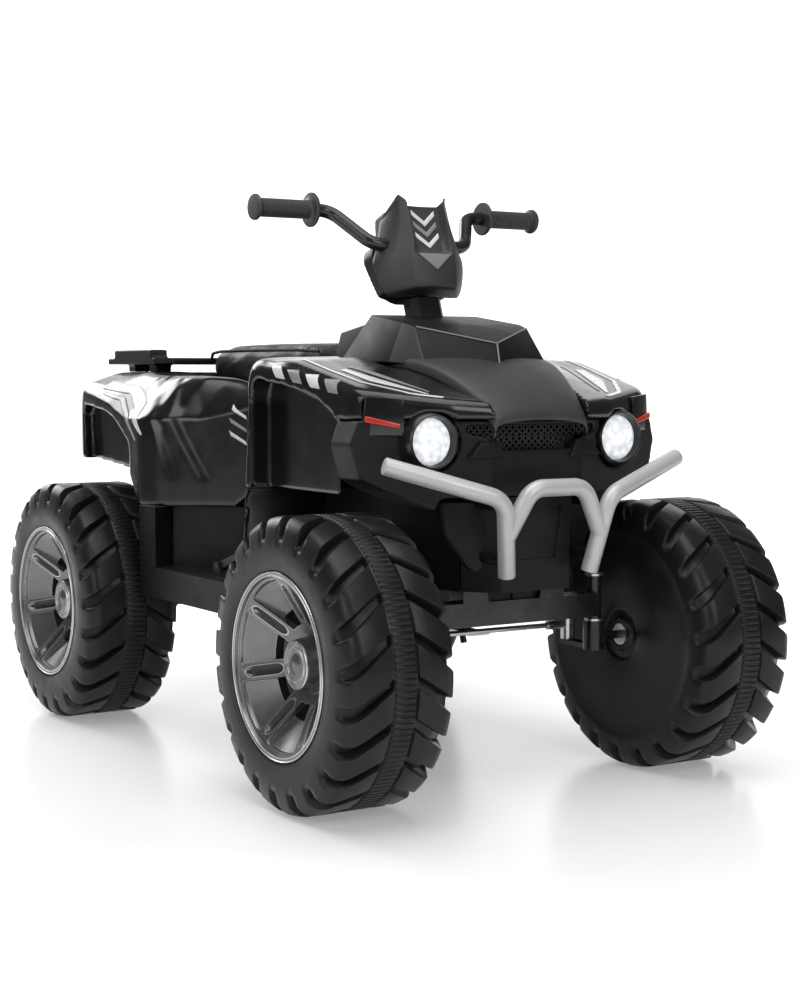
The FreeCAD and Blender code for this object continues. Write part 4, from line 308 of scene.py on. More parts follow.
def solid(name, points, faces):
    """A new mesh object from millimetre points."""
    mesh = bpy.data.meshes.new(name)
    mesh.from_pydata([(x / 1000, y / 1000, z / 1000) for x, y, z in points], [], faces)
    return placed(name, mesh)


def piece(name, points, faces, look, body, *nodes, sharp=35):
    """A piece from millimetre points, riding on a body and standing for CAD nodes."""
    thing = solid(name, points, faces)
    thing.data.materials.append(look)
    return dressed(thing, body, *nodes, sharp=sharp)


def reworked(thing, change):
    """Run a change on an object's mesh."""
    work = bmesh.new()
    work.from_mesh(thing.data)
    change(work)
    work.to_mesh(thing.data)
    work.free()


def dressed(thing, body, *nodes, sharp):
    """Smooth an object's faces, hang it on its body and let it stand for CAD nodes."""
    reworked(thing, lambda mesh: bmesh.ops.recalc_face_normals(mesh, faces=mesh.faces))
    thing.data.shade_smooth()
    thing.data.set_sharp_from_angle(angle=radians(sharp))
    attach(thing, body)
    if nodes:
        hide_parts(*nodes)
    return thing


def rings(rows, closed=True, around=True):
    """Points and faces through equal rows; closed joins the last row to the first, around its ends."""
    count = len(rows[0])
    points = [point for row in rows for point in row]
    faces = []
    for k in range(len(rows) if closed else len(rows) - 1):
        near, far = k * count, (k + 1) % len(rows) * count
        for n in range(count if around else count - 1):
            after = (n + 1) % count
            faces.append((near + n, near + after, far + after, far + n))
    return points, faces


def capped(rows):
    """Points and faces through equal rings, the first and the last closed by a face."""
    points, faces = rings(rows, closed=False)
    count = len(rows[0])
    faces += [tuple(range(count)), tuple(range(len(points) - count, len(points)))]
    return points, faces


def settled(thing):
    """Bake an object's modifiers into its mesh."""
    ready = thing.evaluated_get(bpy.context.evaluated_depsgraph_get())
    mesh = bpy.data.meshes.new_from_object(ready)
    thing.modifiers.clear()
    thing.data = mesh


def modified(thing, kind, **settings):
    """Run a modifier on an object's mesh."""
    change = thing.modifiers.new(kind.lower(), kind)
    for key, value in settings.items():
        setattr(change, key, value)
    settled(thing)


def softened(name, node, look, body, voxel=2.6, passes=5, form=None, mouth=None):
    """A moulded shell from its CAD node: a mouth cut in, edges rounded off, points moved by a form."""
    thing = placed(name, frame["nodes"][node].data.copy())
    thing.data.materials.clear()
    thing.data.materials.append(look)
    reworked(thing, lambda mesh: bmesh.ops.remove_doubles(mesh, verts=mesh.verts, dist=1e-6))
    if mouth:
        modified(thing, "BOOLEAN", object=mouth, solver="EXACT")
        bpy.data.objects.remove(mouth)
    modified(thing, "REMESH", mode="VOXEL", voxel_size=voxel / 1000)
    if form:
        for point in thing.data.vertices:
            point.co = Vector(form(*(point.co * 1000))) / 1000
    modified(thing, "SMOOTH", factor=0.5, iterations=passes)
    return dressed(thing, body, node, sharp=80)


def bevelled(thing, width, angle=24):
    """Round an object's sharp edges by a width in millimetres."""
    modified(thing, "BEVEL", width=width / 1000, segments=3, limit_method="ANGLE",
             angle_limit=radians(angle))
    thing.data.shade_smooth()
    thing.data.set_sharp_from_angle(angle=radians(50))


def sheet(name, rows, look, body, *nodes, thick=3, levels=2, crease=None):
    """A thin moulded panel through rows of points; crease says how sharp each edge stays."""
    panel = piece(name, *rings(rows, closed=False, around=False), look, body, *nodes, sharp=60)
    if crease:
        weights = panel.data.attributes.new("crease_edge", "FLOAT", "EDGE").data
        for edge, weight in zip(panel.data.edges, weights):
            ends = sorted(divmod(v, len(rows[0])) for v in edge.vertices)
            weight.value = crease(*ends[0], *ends[1])
    modified(panel, "SUBSURF", levels=levels)
    modified(panel, "SOLIDIFY", thickness=thick / 1000, offset=-1)
    return panel


def lathe(centre, axis, profile, count=56):
    """Rings of a turned form from (reach, radius) pairs on an axis."""
    centre, axis = Vector(centre), Vector(axis).normalized()
    side = axis.orthogonal().normalized()
    up = axis.cross(side)
    turns = [tau * k / count for k in range(count)]
    return [[centre + axis * reach + (side * cos(t) + up * sin(t)) * radius for t in turns]
            for reach, radius in profile]


ARC_STEPS = 8


def bent(points, radius):
    """A line through points with its corners turned into arcs."""
    points = [Vector(p) for p in points]
    line = [points[0]]
    for before, corner, after in zip(points, points[1:], points[2:]):
        back, ahead = (before - corner).normalized(), (after - corner).normalized()
        half = back.angle(ahead) / 2
        centre = corner + (back + ahead).normalized() * (radius / sin(half))
        start = corner + back * (radius / tan(half)) - centre
        end = corner + ahead * (radius / tan(half)) - centre
        axis, sweep = start.cross(end), start.angle(end)
        line.extend(centre + Quaternion(axis, sweep * k / ARC_STEPS) @ start for k in range(ARC_STEPS + 1))
    line.append(points[-1])
    return line


def tube(name, line, radius, look, body, *nodes, sides=24):
    """A round tube along a line; radius is a number or a list, one for each point."""
    count = len(line)
    radii = radius if isinstance(radius, list) else [radius] * count
    side = (line[1] - line[0]).orthogonal().normalized()
    turns = [tau * n / sides for n in range(sides)]
    rows = []
    for k, here in enumerate(line):
        before = line[k - 1] if k else here
        after = line[k + 1] if k < count - 1 else here
        course = (after - before).normalized()
        side = (side - course * side.dot(course)).normalized()
        up = course.cross(side)
        rows.append([here + (side * cos(t) + up * sin(t)) * radii[k] for t in turns])
    return piece(name, *capped(rows), look, body, *nodes, sharp=50)


def along(edge, share):
    """The point at a share of the way along a polyline."""
    steps = [dist(a, b) for a, b in zip(edge, edge[1:])]
    left = share * sum(steps)
    for (a, b), step in zip(zip(edge, edge[1:]), steps):
        if left <= step or step is steps[-1]:
            t = min(1, left / step)
            return tuple(p + (q - p) * t for p, q in zip(a, b))
        left -= step


FILM_LIFT = 0.0007
FILM_STRIPS = 4


def film(name, target, first, second, look, spot, axis, body="frame", count=28):
    """A thin film between two flat edges: spot sets a flat point off a surface, axis drops it on."""
    shape = target.data
    tree = BVHTree.FromPolygons([v.co for v in shape.vertices], [p.vertices for p in shape.polygons])
    axis = Vector(axis)
    rows = []
    for k in range(count + 1):
        a, b = along(first, k / count), along(second, k / count)
        row = []
        for n in range(FILM_STRIPS + 1):
            start = Vector(spot(*(p + (q - p) * n / FILM_STRIPS for p, q in zip(a, b))))
            hit, normal, _, _ = tree.ray_cast(start / 1000, axis)
            row.append((hit + normal * FILM_LIFT) * 1000)
        rows.append(row)
    return sheet(name, rows, look, body, thick=0.4, levels=0)


# Wheels

def wheel_point(side, axle, depth, radius, angle):
    """A point of a wheel: depth in from its outer face, radius, and angle from the rear upwards."""
    across, up = radius * cos(angle), radius * sin(angle)
    return side * (HALF_WIDTH - depth), axle + across, TYRE_RADIUS + up


LUGS = 22
WHEEL_WIDTH = 135
# A groove's slant over its reach from the centre band, half its width at the band and what its end adds.
BAND_HALF, GROOVE_REACH, GROOVE_SKEW = 15, 52.5, 36
GROOVE_HALF, GROOVE_SPREAD = 4.5, 2.6
# How high each point between two lugs' middles stands: 1 on the lug, 0 on the groove's floor.
LUG_LIFT = (1, 1, 1, 0.86, 0, 0, 0, 0.86, 1, 1)
# Half of the tread from the sidewall inwards: (depth, radius) of the lug and of the groove's floor.
TREAD = [
    ((0.6, 137.5), (0.6, 137.5)), ((1.6, 143.5), (2.8, 140.6)), ((3.2, 152), (7.4, 143)),
    ((6.8, 159), (12, 146)), ((12, 163.2), (17, 149)), ((18, 164.9), (22, 151.2)),
    ((34, 165), (35, 153.4)), ((49.5, 165), (49.5, 154.6)), ((51.4, 164.2), (51.6, 155.6)),
    ((52.4, 162), (52.4, 157.6)), ((53.4, 162.6), (53.4, 162.4)),
]
# The outer face from the hub cap to the tread, and the inner face from the tread to the hub.
OUTER_FACE = [(60, 13.2), (60, 105.4), (6, 105.4), (2, 105.9), (0.9, 107.8), (1, 111),
              (0.3, 114), (0, 122), (0, 130)]
INNER_FACE = [(135, 131), (135, 127.5), (134.4, 126), (134.4, 98), (134.4, 34), (133.6, 31.5),
              (130.6, 29.5), (130.4, 23), (131.4, 21), (134.6, 19), (134.8, 14.5), (134, 13.2)]
MIDDLE_RADIUS = 162.2
# The ribbed band in the middle of the tread: depth, radius between the ribs and on them.
BAND_LINE = [(54.6, 161, 161), (54.8, 162.9, 163.6), (55.8, 163.2, 164.8),
             (79.2, 163.2, 164.8), (80.2, 162.9, 163.6), (80.4, 161, 161)]
BAND_RIBS = 150


def tyre(name, side, axle, body, node):
    """Blow-moulded wheel: slanted lugs beside a centre band, sidewalls and the closed inner face."""
    middle = WHEEL_WIDTH / 2
    pitch = tau * TYRE_RADIUS / LUGS

    def slanted(depth):
        """Angles round the wheel that follow the lugs' slant at this depth."""
        off = min(max(0, abs(depth - middle) - BAND_HALF), GROOVE_REACH)
        shift = GROOVE_SKEW * off / GROOVE_REACH
        half = (GROOVE_HALF + GROOVE_SPREAD * off / GROOVE_REACH) / pitch
        marks = (0, 0.34 - half, 0.445 - half, 0.47 - half, 0.5 - half, 0.5, 0.5 + half, 0.53 + half,
                 0.555 + half, 0.66 + half)
        places = [k + mark for k in range(LUGS) for mark in marks]
        return [(place * pitch + shift) / TYRE_RADIUS - pi / 2 for place in places]

    # Rings from the outer face to the inner one: (depth, radius) on the lugs and in the grooves.
    crest = (middle, MIDDLE_RADIUS)
    line = [(place, place) for place in OUTER_FACE] + TREAD + [(crest, crest)]
    line += [[(WHEEL_WIDTH - depth, radius) for depth, radius in pair] for pair in reversed(TREAD)]
    line += [(place, place) for place in INNER_FACE]
    rows = []
    for lug, floor in line:
        row = []
        for n, angle in enumerate(slanted(lug[0])):
            t = LUG_LIFT[n % len(LUG_LIFT)]
            depth, radius = (low + (high - low) * t for low, high in zip(floor, lug))
            row.append(wheel_point(side, axle, depth, radius, angle))
        rows.append(row)
    shell = piece(name, *rings(rows), TYRE, body, node, sharp=42)
    band = []
    for depth, low, high in BAND_LINE:
        row = []
        for k in range(BAND_RIBS):
            for share, radius in ((0, low), (0.42, low), (0.55, high), (0.87, high)):
                row.append(wheel_point(side, axle, depth, radius, tau * (k + share) / BAND_RIBS))
        band.append(row)
    ribbed = piece(f"{name}_band", *rings(band), TYRE, body, sharp=50)


SPOKES = 7
FIRST_SPOKE = radians(-12)
# The spokes' dished face: its outer radius, its depth there and its slope.
CONE_RADIUS, CONE_DEPTH, CONE_SLOPE = 97, 5, 44 / 69


def cone_depth(radius):
    """Depth of the spokes' dished front face."""
    return CONE_DEPTH + (CONE_RADIUS - radius) * CONE_SLOPE


# The slot in a spoke, from outside in: radius, half width, half width with its rim, and depth.
SLOT_LINE = [
    (91.2, 0.1, 0.25, 0), (90.6, 0.15, 2.6, -0.4), (89.8, 0.25, 3.9, -0.4), (88.9, 2, 4.8, 4),
    (87, 4.2, 6, 6), (84.6, 5.3, 6.7, 6), (82, 5.6, 6.9, 6), (63, 5.6, 6.9, 6),
    (62.2, 5.6, 6.9, 6), (56, 5.6, 6.9, 6), (53.4, 5.3, 6.7, 6), (51, 4.2, 6, 6),
    (49.1, 2, 4.8, 4), (48.2, 0.25, 3.9, -0.4), (47.4, 0.15, 2.6, -0.4), (46.8, 0.1, 0.25, 0),
]
# The panels between the spokes: how far they lie below them before and after the slots, by radius.
PANEL_START = [(97, 0), (95.4, 0), (94.6, 1.2), (94, 3)]
PANEL_END = [(45.6, 10), (44.8, 3), (44, 0), (38, 0), (33, 0)]
PANEL_SLOPE = 0.15
# The hollow in a panel near the boss, painted dark as shade: its radii and its depth.
HOLE_NEAR, HOLE_REACH, HOLE_DEPTH = 47, 62.5, 9
# The cap's rim and boss as (depth, radius), and which of their rings carry a painted highlight.
CAP_RIM = [(62, 22), (52, 60), (30, 95), (9, 104.8), (1, 104.8), (0.2, 104.3), (0, 103.6),
           (0.6, 103), (0.9, 101.2), (0.9, 100.4), (0.2, 99.9), (0.2, 99.3), (2, 98.4), (4.6, 97.8)]
CAP_BOSS = [(44, 31.6), (42, 30.6), (28, 28.2), (25.6, 27.4), (24.6, 26.2), (24.4, 23.6), (25.6, 22.8),
            (25.8, 20.2), (24.6, 19.4), (24.6, 18.2), (26, 17), (26.4, 13), (25.4, 10.5), (23.8, 7),
            (23, 3)]
RIM_HIGHLIGHTS = (4, 5, 6, 9, 10)
BOSS_HIGHLIGHTS = (3, 7)
# Points in a ring from a spoke's middle to its panel's; which of them edge the slot and the hollow.
CAP_MARKS = 12
SLOT_EDGE, HOLE_EDGE = 2, 8
HOLE_RINGS = 8


def hub_cap(name, side, axle, body, node):
    """Dished cap: rim with painted highlight rings, slotted spokes over sloping panels with painted shade in
    the slots and hollows, and a drum with a domed knob.
    """
    rows = []

    def row(radius, depth, window=0, slot=None):
        """One ring: window is how far the panels lie below the spokes, slot its widths and depth."""
        hole = window + (HOLE_DEPTH if slot and HOLE_NEAR < radius < HOLE_REACH else 0)
        arc = pi / SPOKES * radius
        inner, rim, sunk = slot or (4.6, 6, 0)
        edge = -0.4 if slot else 0
        offsets = (0, 0.6 * inner, inner, inner + 0.3 * (rim - inner), rim, 8.6, 9.8, 10.4, 11,
                   max(13.5, 0.45 * arc), max(20, 0.72 * arc))
        depths = (sunk, sunk, 0.85 * sunk, edge, edge, 0, 0, 0.35 * window, window, hole, hole, hole)
        places = [min(offset, arc * (0.78 + 0.019 * n)) for n, offset in enumerate(offsets)] + [arc]
        half = [(place / radius, depth + low) for place, low in zip(places, depths)]
        line = []
        for k in range(SPOKES):
            middle = FIRST_SPOKE + tau * k / SPOKES
            line += [(middle - a, d) for a, d in reversed(half[1:-1])]
            line += [(middle + a, d) for a, d in half]
        rows.append([wheel_point(side, axle, d, radius, a) for a, d in line])

    for depth, radius in CAP_RIM:
        row(radius, depth)
    for radius, sunk in PANEL_START:
        row(radius, cone_depth(radius), sunk)
    panel_radius, panel_sunk = PANEL_START[-1]
    first_slot = len(rows)
    for radius, *slot in SLOT_LINE:
        row(radius, cone_depth(radius), panel_sunk + PANEL_SLOPE * (panel_radius - radius), slot)
    last_slot = len(rows) - 1
    for radius, sunk in PANEL_END:
        row(radius, cone_depth(radius), sunk)
    first_boss = len(rows)
    for depth, radius in CAP_BOSS:
        row(radius, depth)
    cap = piece(name, *capped(rows), CAP, body, node, sharp=32)
    cap.data.materials.append(CAP_HIGHLIGHT)
    cap.data.materials.append(SLOT_SHADE)
    ends = (first_slot, first_slot + 1, last_slot - 2, last_slot - 1)
    for n, face in enumerate(cap.data.polygons):
        ring, spot = divmod(n, len(rows[0]))
        spot %= 2 * CAP_MARKS - 2
        mark = CAP_MARKS - 3 - spot if spot < CAP_MARKS - 2 else spot - CAP_MARKS + 2
        on_slot = first_slot <= ring < last_slot
        in_slot = on_slot and mark < SLOT_EDGE
        slot_rim_highlight = on_slot and mark in (SLOT_EDGE, SLOT_EDGE + 1) or in_slot and ring in ends
        # Rim rings, boss rings and slot rims get the painted highlight.
        if ring in RIM_HIGHLIGHTS or ring - first_boss in BOSS_HIGHLIGHTS or slot_rim_highlight:
            face.material_index = 1
        # Slot floors and the hollows near the boss get the painted shade.
        elif in_slot or last_slot - HOLE_RINGS <= ring < last_slot and mark >= HOLE_EDGE:
            face.material_index = 2


# Body shells

def mirrored(points):
    """Points of both sides of a form given by its half."""
    return points + [(-x, y, z) for x, y, z in points]


# The nose panel's middle line and half width, and how far it drops at each share of that half.
NOSE_LINE = [
    (-236, 513, 98), (-268, 511.5, 104), (-300, 507.5, 98), (-331, 498.5, 90), (-360, 484.5, 81),
    (-388, 467, 73), (-405, 452.5, 68), (-413, 444, 66), (-417, 438, 65), (-415.5, 432, 64),
]
NOSE_DROP = [(-1, 20), (-0.99, 9), (-0.92, 5), (-0.62, 1.6), (-0.3, 0.3), (0, 0)]
# The dome's upper and lower corners on the +X side, and the ends of its keel.
DOME_TOP = [(77, -168, 557), (86, -252, 545), (82, -272, 540), (66, -133, 546), (62, -66, 537),
            (61, -53, 513), (60, -44.5, 470)]
DOME_FOOT = [(111, -150, 500), (111, -262, 498), (88, -306, 494), (68, -124, 480), (64, -72, 470)]
DOME_KEEL = [(0, -325, 520), (0, -332, 490)]


def hood():
    """Crowned nose panel, and over it the dome with its pointed front and the console behind."""
    shares = NOSE_DROP + [(-share, drop) for share, drop in reversed(NOSE_DROP[:-1])]
    rows = [[(half * share, y, z - drop) for share, drop in shares] for y, z, half in NOSE_LINE]
    sheet("nose_panel", rows, TRIM, "frame")
    points = mirrored(DOME_TOP) + mirrored(DOME_FOOT) + DOME_KEEL
    tip, tip_foot = len(points) - 2, len(points) - 1
    plus, minus = range(0, 7), range(7, 14)
    plus_foot, minus_foot = range(14, 19), range(19, 24)
    faces = [(plus[0], plus[1], minus[1], minus[0]), (plus[1], plus[2], tip, minus[2], minus[1])]
    faces += [(plus[a], plus[b], minus[b], minus[a]) for a, b in ((0, 3), (3, 4), (4, 5), (5, 6))]
    lit_chamfers = []
    for t, f in ((plus, plus_foot), (minus, minus_foot)):
        faces += [(t[0], t[1], f[1], f[0]), (t[1], t[2], f[2], f[1]), (t[2], tip, tip_foot, f[2]),
                  (t[0], f[0], f[3], t[3]), (t[3], f[3], f[4], t[4]), (t[4], f[4], t[6], t[5])]
        lit_chamfers.append({t[1], t[2], f[1]})
    faces.append((*plus_foot[:3], tip_foot, *reversed(minus_foot[:3]), *minus_foot[3:], minus[6], plus[6],
                  *reversed(plus_foot[3:])))
    dome = piece("hood_dome", points, faces, DOME, "frame", "hood_cover")
    dome.data.materials.append(TUB)
    # The dome's front flank facets take the lighter trim grey: a painted highlight where light falls on
    # them.
    dome.data.materials.append(TRIM)
    for face in dome.data.polygons:
        corners = set(face.vertices)
        if {tip, tip_foot} <= corners:
            face.material_index = 1
        if any(chamfer <= corners for chamfer in lit_chamfers):
            face.material_index = 2
    bevelled(dome, 1.6)
    # Thin grey tubes along the scoop's edge and keel: a painted highlight on the edges.
    edge = [Vector(p) for p in ((-80, -273.6, 540), (0, -325.4, 520.4), (80, -273.6, 540))]
    tube("scoop_edge", edge, 0.9, GREY, "frame", sides=10)
    keel_highlight = [Vector((0, -325.6, 519.6)), Vector((0, -331.6, 493))]
    tube("scoop_keel", keel_highlight, 1.1, GREY, "frame", sides=10)


def between(table, place):
    """Straight-line reading of a table of (place, value) pairs."""
    for (a, low), (b, high) in zip(table, table[1:]):
        if place <= b:
            return low + (high - low) * max(0, (place - a) / (b - a))
    return table[-1][1]


# The hips by y: half width, top, the crown's rise and the shoulder's drop; their flares' edges by z.
HIP_HALF = [(-100, 121), (25, 123), (50, 145), (100, 194), (125, 220), (150, 233), (175, 235), (275, 228),
            (400, 218), (443, 206)]
HIP_TOP = [(215, 466), (285, 486), (410, 487), (443, 446)]
HIP_RISE = [(-20, 0), (60, 8), (120, 14), (200, 16), (285, 2), (330, 0)]
HIP_DROP = [(-60, 4), (40, 14), (100, 44), (200, 50), (270, 38), (340, 24), (443, 10)]
OUTER_CREASE = [(345, 120), (370, 126), (410, 137), (434, 148), (456, 174), (476, 232)]
INNER_CREASE = [(345, 92), (357, 97), (397, 113), (434, 126), (463, 145), (476, 164)]
SHOULDER = 66
HIP_WAIST = 396
CROWN_START, CROWN_WIDTH = 92, 34
FLARE_START, FLARE_SPREAD, FLARE_FRONT = 120, 60, 40
FLARE_OUT, FLARE_SOFT = 2.6, 4


def ease(share):
    """Smooth step from 0 to 1."""
    share = min(1, max(0, share))
    return share * share * (3 - 2 * share)


def hip(x, y, z):
    """The rear hips: crown beside the seat, sloping shoulders, two flares towards the rear arch."""
    side, top = abs(x), between(HIP_TOP, y)
    if z > HIP_WAIST:
        crown = between(HIP_RISE, y) * ease((side - CROWN_START) / CROWN_WIDTH)
        slope = between(HIP_DROP, y) * ease((side - between(HIP_HALF, y) + SHOULDER) / SHOULDER)
        z += (crown - slope) * (z - HIP_WAIST) / (top - HIP_WAIST)
    if side > FLARE_START and y > FLARE_FRONT:
        step = sum(tanh((y - between(edge, z)) / FLARE_SOFT) for edge in (OUTER_CREASE, INNER_CREASE))
        side += FLARE_OUT * step * min(1, (side - FLARE_START) / FLARE_SPREAD)
    return copysign(side, x), y, z


# A fender's rear shoulder, (y, z), and its squareness; its inner edge and its rise at the hood by y.
CORNER = (-185, 445)
SQUARENESS = 6
FENDER_INNER = [(-416, 65), (-316, 91), (-263, 112), (-100, 112)]
FENDER_RISE = [(-410, 3), (-360, 8), (-320, 11), (-290, 9), (-250, 5), (-200, 3), (-120, 0)]
# Where its top starts and how deep it is; how wide its rise and its outer fall are, and how far it falls.
FENDER_TOP, TOP_DEPTH, RISE_WIDTH = 452, 30, 50
FALL_START, FALL_WIDTH, FALL = 170, 60, 4


def fender(x, y, z):
    """A front fender: square rear shoulder, top falling from the hood to the outer edge."""
    aft, up = y - CORNER[0], z - CORNER[1]
    if aft > 0 and up > 0:
        grow = hypot(aft, up) / (aft ** SQUARENESS + up ** SQUARENESS) ** (1 / SQUARENESS)
        y, z = CORNER[0] + aft * grow, CORNER[1] + up * grow
    high = min(1, max(0, (z - FENDER_TOP) / TOP_DEPTH))
    inner = max(0, 1 - (abs(x) - between(FENDER_INNER, y)) / RISE_WIDTH)
    outer = max(0, abs(x) - FALL_START) / FALL_WIDTH
    return x, y, z + high * (between(FENDER_RISE, y) * min(1, inner) - FALL * outer * outer)


hood()
FENDERS = {hand: softened(f"fender_{hand}", f"front_fender_{hand}", SHELL, "frame", form=fender)
           for hand, _ in SIDES}
HIPS = softened("rear_hips", "rear_body", SHELL, "frame", voxel=3, form=hip)

# The grille's mouth in the face, as (x, z).
MOUTH = [(-104, 433), (104, 433), (100, 414), (67, 414), (46, 391), (-46, 391), (-67, 414), (-100, 414)]


def slab(face, deep):
    """Points and faces of a slab: its face's corners, and how deep it goes."""
    count = len(face)
    points = face + [tuple(p + d for p, d in zip(corner, deep)) for corner in face]
    faces = [tuple(range(count)), tuple(range(2 * count - 1, count - 1, -1))]
    faces += [(k, count + k, count + (k + 1) % count, (k + 1) % count) for k in range(count)]
    return points, faces


def mouth_block(front, deep, grow=1):
    """Points and faces of a block with the mouth's outline."""
    return slab([(x * grow, front, z) for x, z in MOUTH], (0, deep, 0))


softened("face_panel", "front_fascia", TUB, "frame", voxel=2.4, passes=3,
         mouth=solid("mouth", *mouth_block(FRONT - 90, 54)))


# The dash's rear cover is drawn in past a half width by a share, from a height over a depth.
DRAWN_HALF, DRAWN_SHARE, DRAWN_FROM, DRAWN_OVER = 34, 0.7, 448, 45


def dash_rear(x, y, z):
    """The dash's rear cover, its upper corners drawn in behind the ears."""
    up = (y - FOOT[1]) * sin(RAKE) + (z - FOOT[2]) * cos(RAKE)
    excess = max(0, abs(x) - DRAWN_HALF)
    half = abs(x) - DRAWN_SHARE * excess * ease((up - DRAWN_FROM) / DRAWN_OVER)
    return copysign(half, x), y, z


softened("dash_back", "dash_cover_rear", TUB, "steering", voxel=1.8, passes=4, form=dash_rear)
softened("carrier", "rear_rack", TUB, "frame", voxel=2, passes=3)


# Lamps and bumper

# A headlight's place on the +X side, and its bezel and lens as (reach, radius).
LAMP_PLACE = (132, FRONT - 34, 409)
BEZEL = [(-6, 33.5), (9, 33.5), (14, 32.4), (16.4, 30.4), (16, 28.6), (10, 27.2), (-6, 26.8)]
GLASS = [(-4, 4), (-4, 26.4), (7, 26.4), (10.5, 23.5), (13.5, 18), (15.6, 11), (16.4, 4)]
AHEAD = (0, -1, 0)


def headlight(hand, side):
    """Deep bezel with the lit, domed lens in it."""
    x, y, z = LAMP_PLACE
    centre = (side * x, y, z)
    piece(f"lamp_ring_{hand}", *rings(lathe(centre, AHEAD, BEZEL)), STEEL, "frame", sharp=40)
    glass = capped(lathe(centre, AHEAD, GLASS))
    lens = piece(f"lamp_glass_{hand}", *glass, GLOW, "frame", f"headlight_lens_{hand}", sharp=60)


def slabs(name, face, deep, look, *nodes):
    """A slab on each side, given for one side."""
    points, faces = slab(face, deep)
    faces += [tuple(n + len(points) for n in corners) for corners in faces]
    thing = piece(name, mirrored(points), faces, look, "frame", *nodes)
    bevelled(thing, 0.9)
    return thing


def markers():
    """Slim red wedges under the fenders' front corners."""
    lens = [(202, -362, 438), (167, -379, 429), (168, -379, 424.5), (203, -362, 431)]
    lenses = slabs("marker_wedges", lens, (-2, 6, 0), RED, "marker_lenses")
    bed = [(200, -358, 460), (162, -379, 457), (162, -379, 416), (204, -356, 416)]
    slabs("marker_beds", bed, (-4, 12, 0), SHELL)


# The bumper's tube, its stubs (name, x, z, start in the tube), and how far back they reach.
BUMPER_RADIUS, BUMPER_BEND, STUB_RADIUS = 10, 26, 6.5
STUBS = (("low", 62, 276, 13), ("high", 69, 338, 6))
STUB_END = FRONT - 46


def bumper():
    """Bent tubes: a bar each side running down into a leg, and the hoop out of the legs."""
    ahead, knee = FRONT - 103, 345
    for hand, side in SIDES:
        corners = [(206, ahead + 40, knee + 40), (73, ahead, knee), (58, ahead + 18, knee - 88)]
        line = bent([(side * x, y, z) for x, y, z in corners], BUMPER_BEND)
        nodes = ("front_bumper",) if side < 0 else ()
        bar = tube(f"bumper_bar_{hand}", line, BUMPER_RADIUS, BAR, "frame", *nodes)
        bevelled(bar, 1.6, angle=50)
        for name, x, z, start in STUBS:
            stub = [Vector((side * x, ahead + start, z)), Vector((side * x, STUB_END, z))]
            tube(f"bumper_stub_{name}_{hand}", stub, STUB_RADIUS, TUB, "frame")
    hoop = bent([(-66, ahead + 8, knee - 43), (-36.5, ahead, knee + 12), (36.5, ahead, knee + 12),
                 (66, ahead + 8, knee - 43)], BUMPER_BEND)
    tube("bumper_hoop", hoop, BUMPER_RADIUS, BAR, "frame")


for hand, side in SIDES:
    headlight(hand, side)
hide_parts("headlight_bezels")
markers()
bumper()


# Grips

# A grip along its line as (reach, radius): flange, ribs of one shape, end bead.
GRIP_LINE = (0, -107.8, 686.2)
FLANGE = [(126, 8.4), (126, 20.4), (127.2, 21.4), (129.6, 21.4), (130.8, 20.2), (131.2, 14), (132.4, 12.2)]
RIB = [(0, 10.9), (0.5, 11.6), (2.9, 11.6), (3.4, 10.9)]
RIB_COUNT, RIB_START, RIB_PITCH = 16, 134, 4.2
END_BEAD = [(202, 11.4), (203, 14.6), (204, 15.8), (207, 16), (208.6, 15), (209, 12), (209, 5)]


def grip(hand, side):
    """Ribbed rubber grip with its hand guard flange and end bead."""
    starts = [RIB_START + RIB_PITCH * k for k in range(RIB_COUNT)]
    ribs = [(start + reach, radius) for start in starts for reach, radius in RIB]
    rows = lathe(GRIP_LINE, (side, 0, 0), FLANGE + ribs + END_BEAD)
    thing = piece(f"ribbed_grip_{hand}", *capped(rows), RUBBER, "steering", f"grip_{hand}", sharp=40)


for hand, side in SIDES:
    grip(hand, side)


# Seat

# The saddle by y: half width and top. How far a point of its cloth may move and sag is in metres.
SEAT_LINE = [(-37, 58, 514), (-20, 70, 519.5), (20, 79, 521.5), (90, 85, 522), (170, 88.5, 522),
             (230, 88, 521.5), (258, 86, 519), (274, 80, 511), (281, 70, 499)]
SEAT_BASE = 473.5
PRESSURE, CLOTH_FRAMES, MOST_MOVE, MOST_SAG = 4, 20, 0.006, 0.0008
STITCH = 1.4


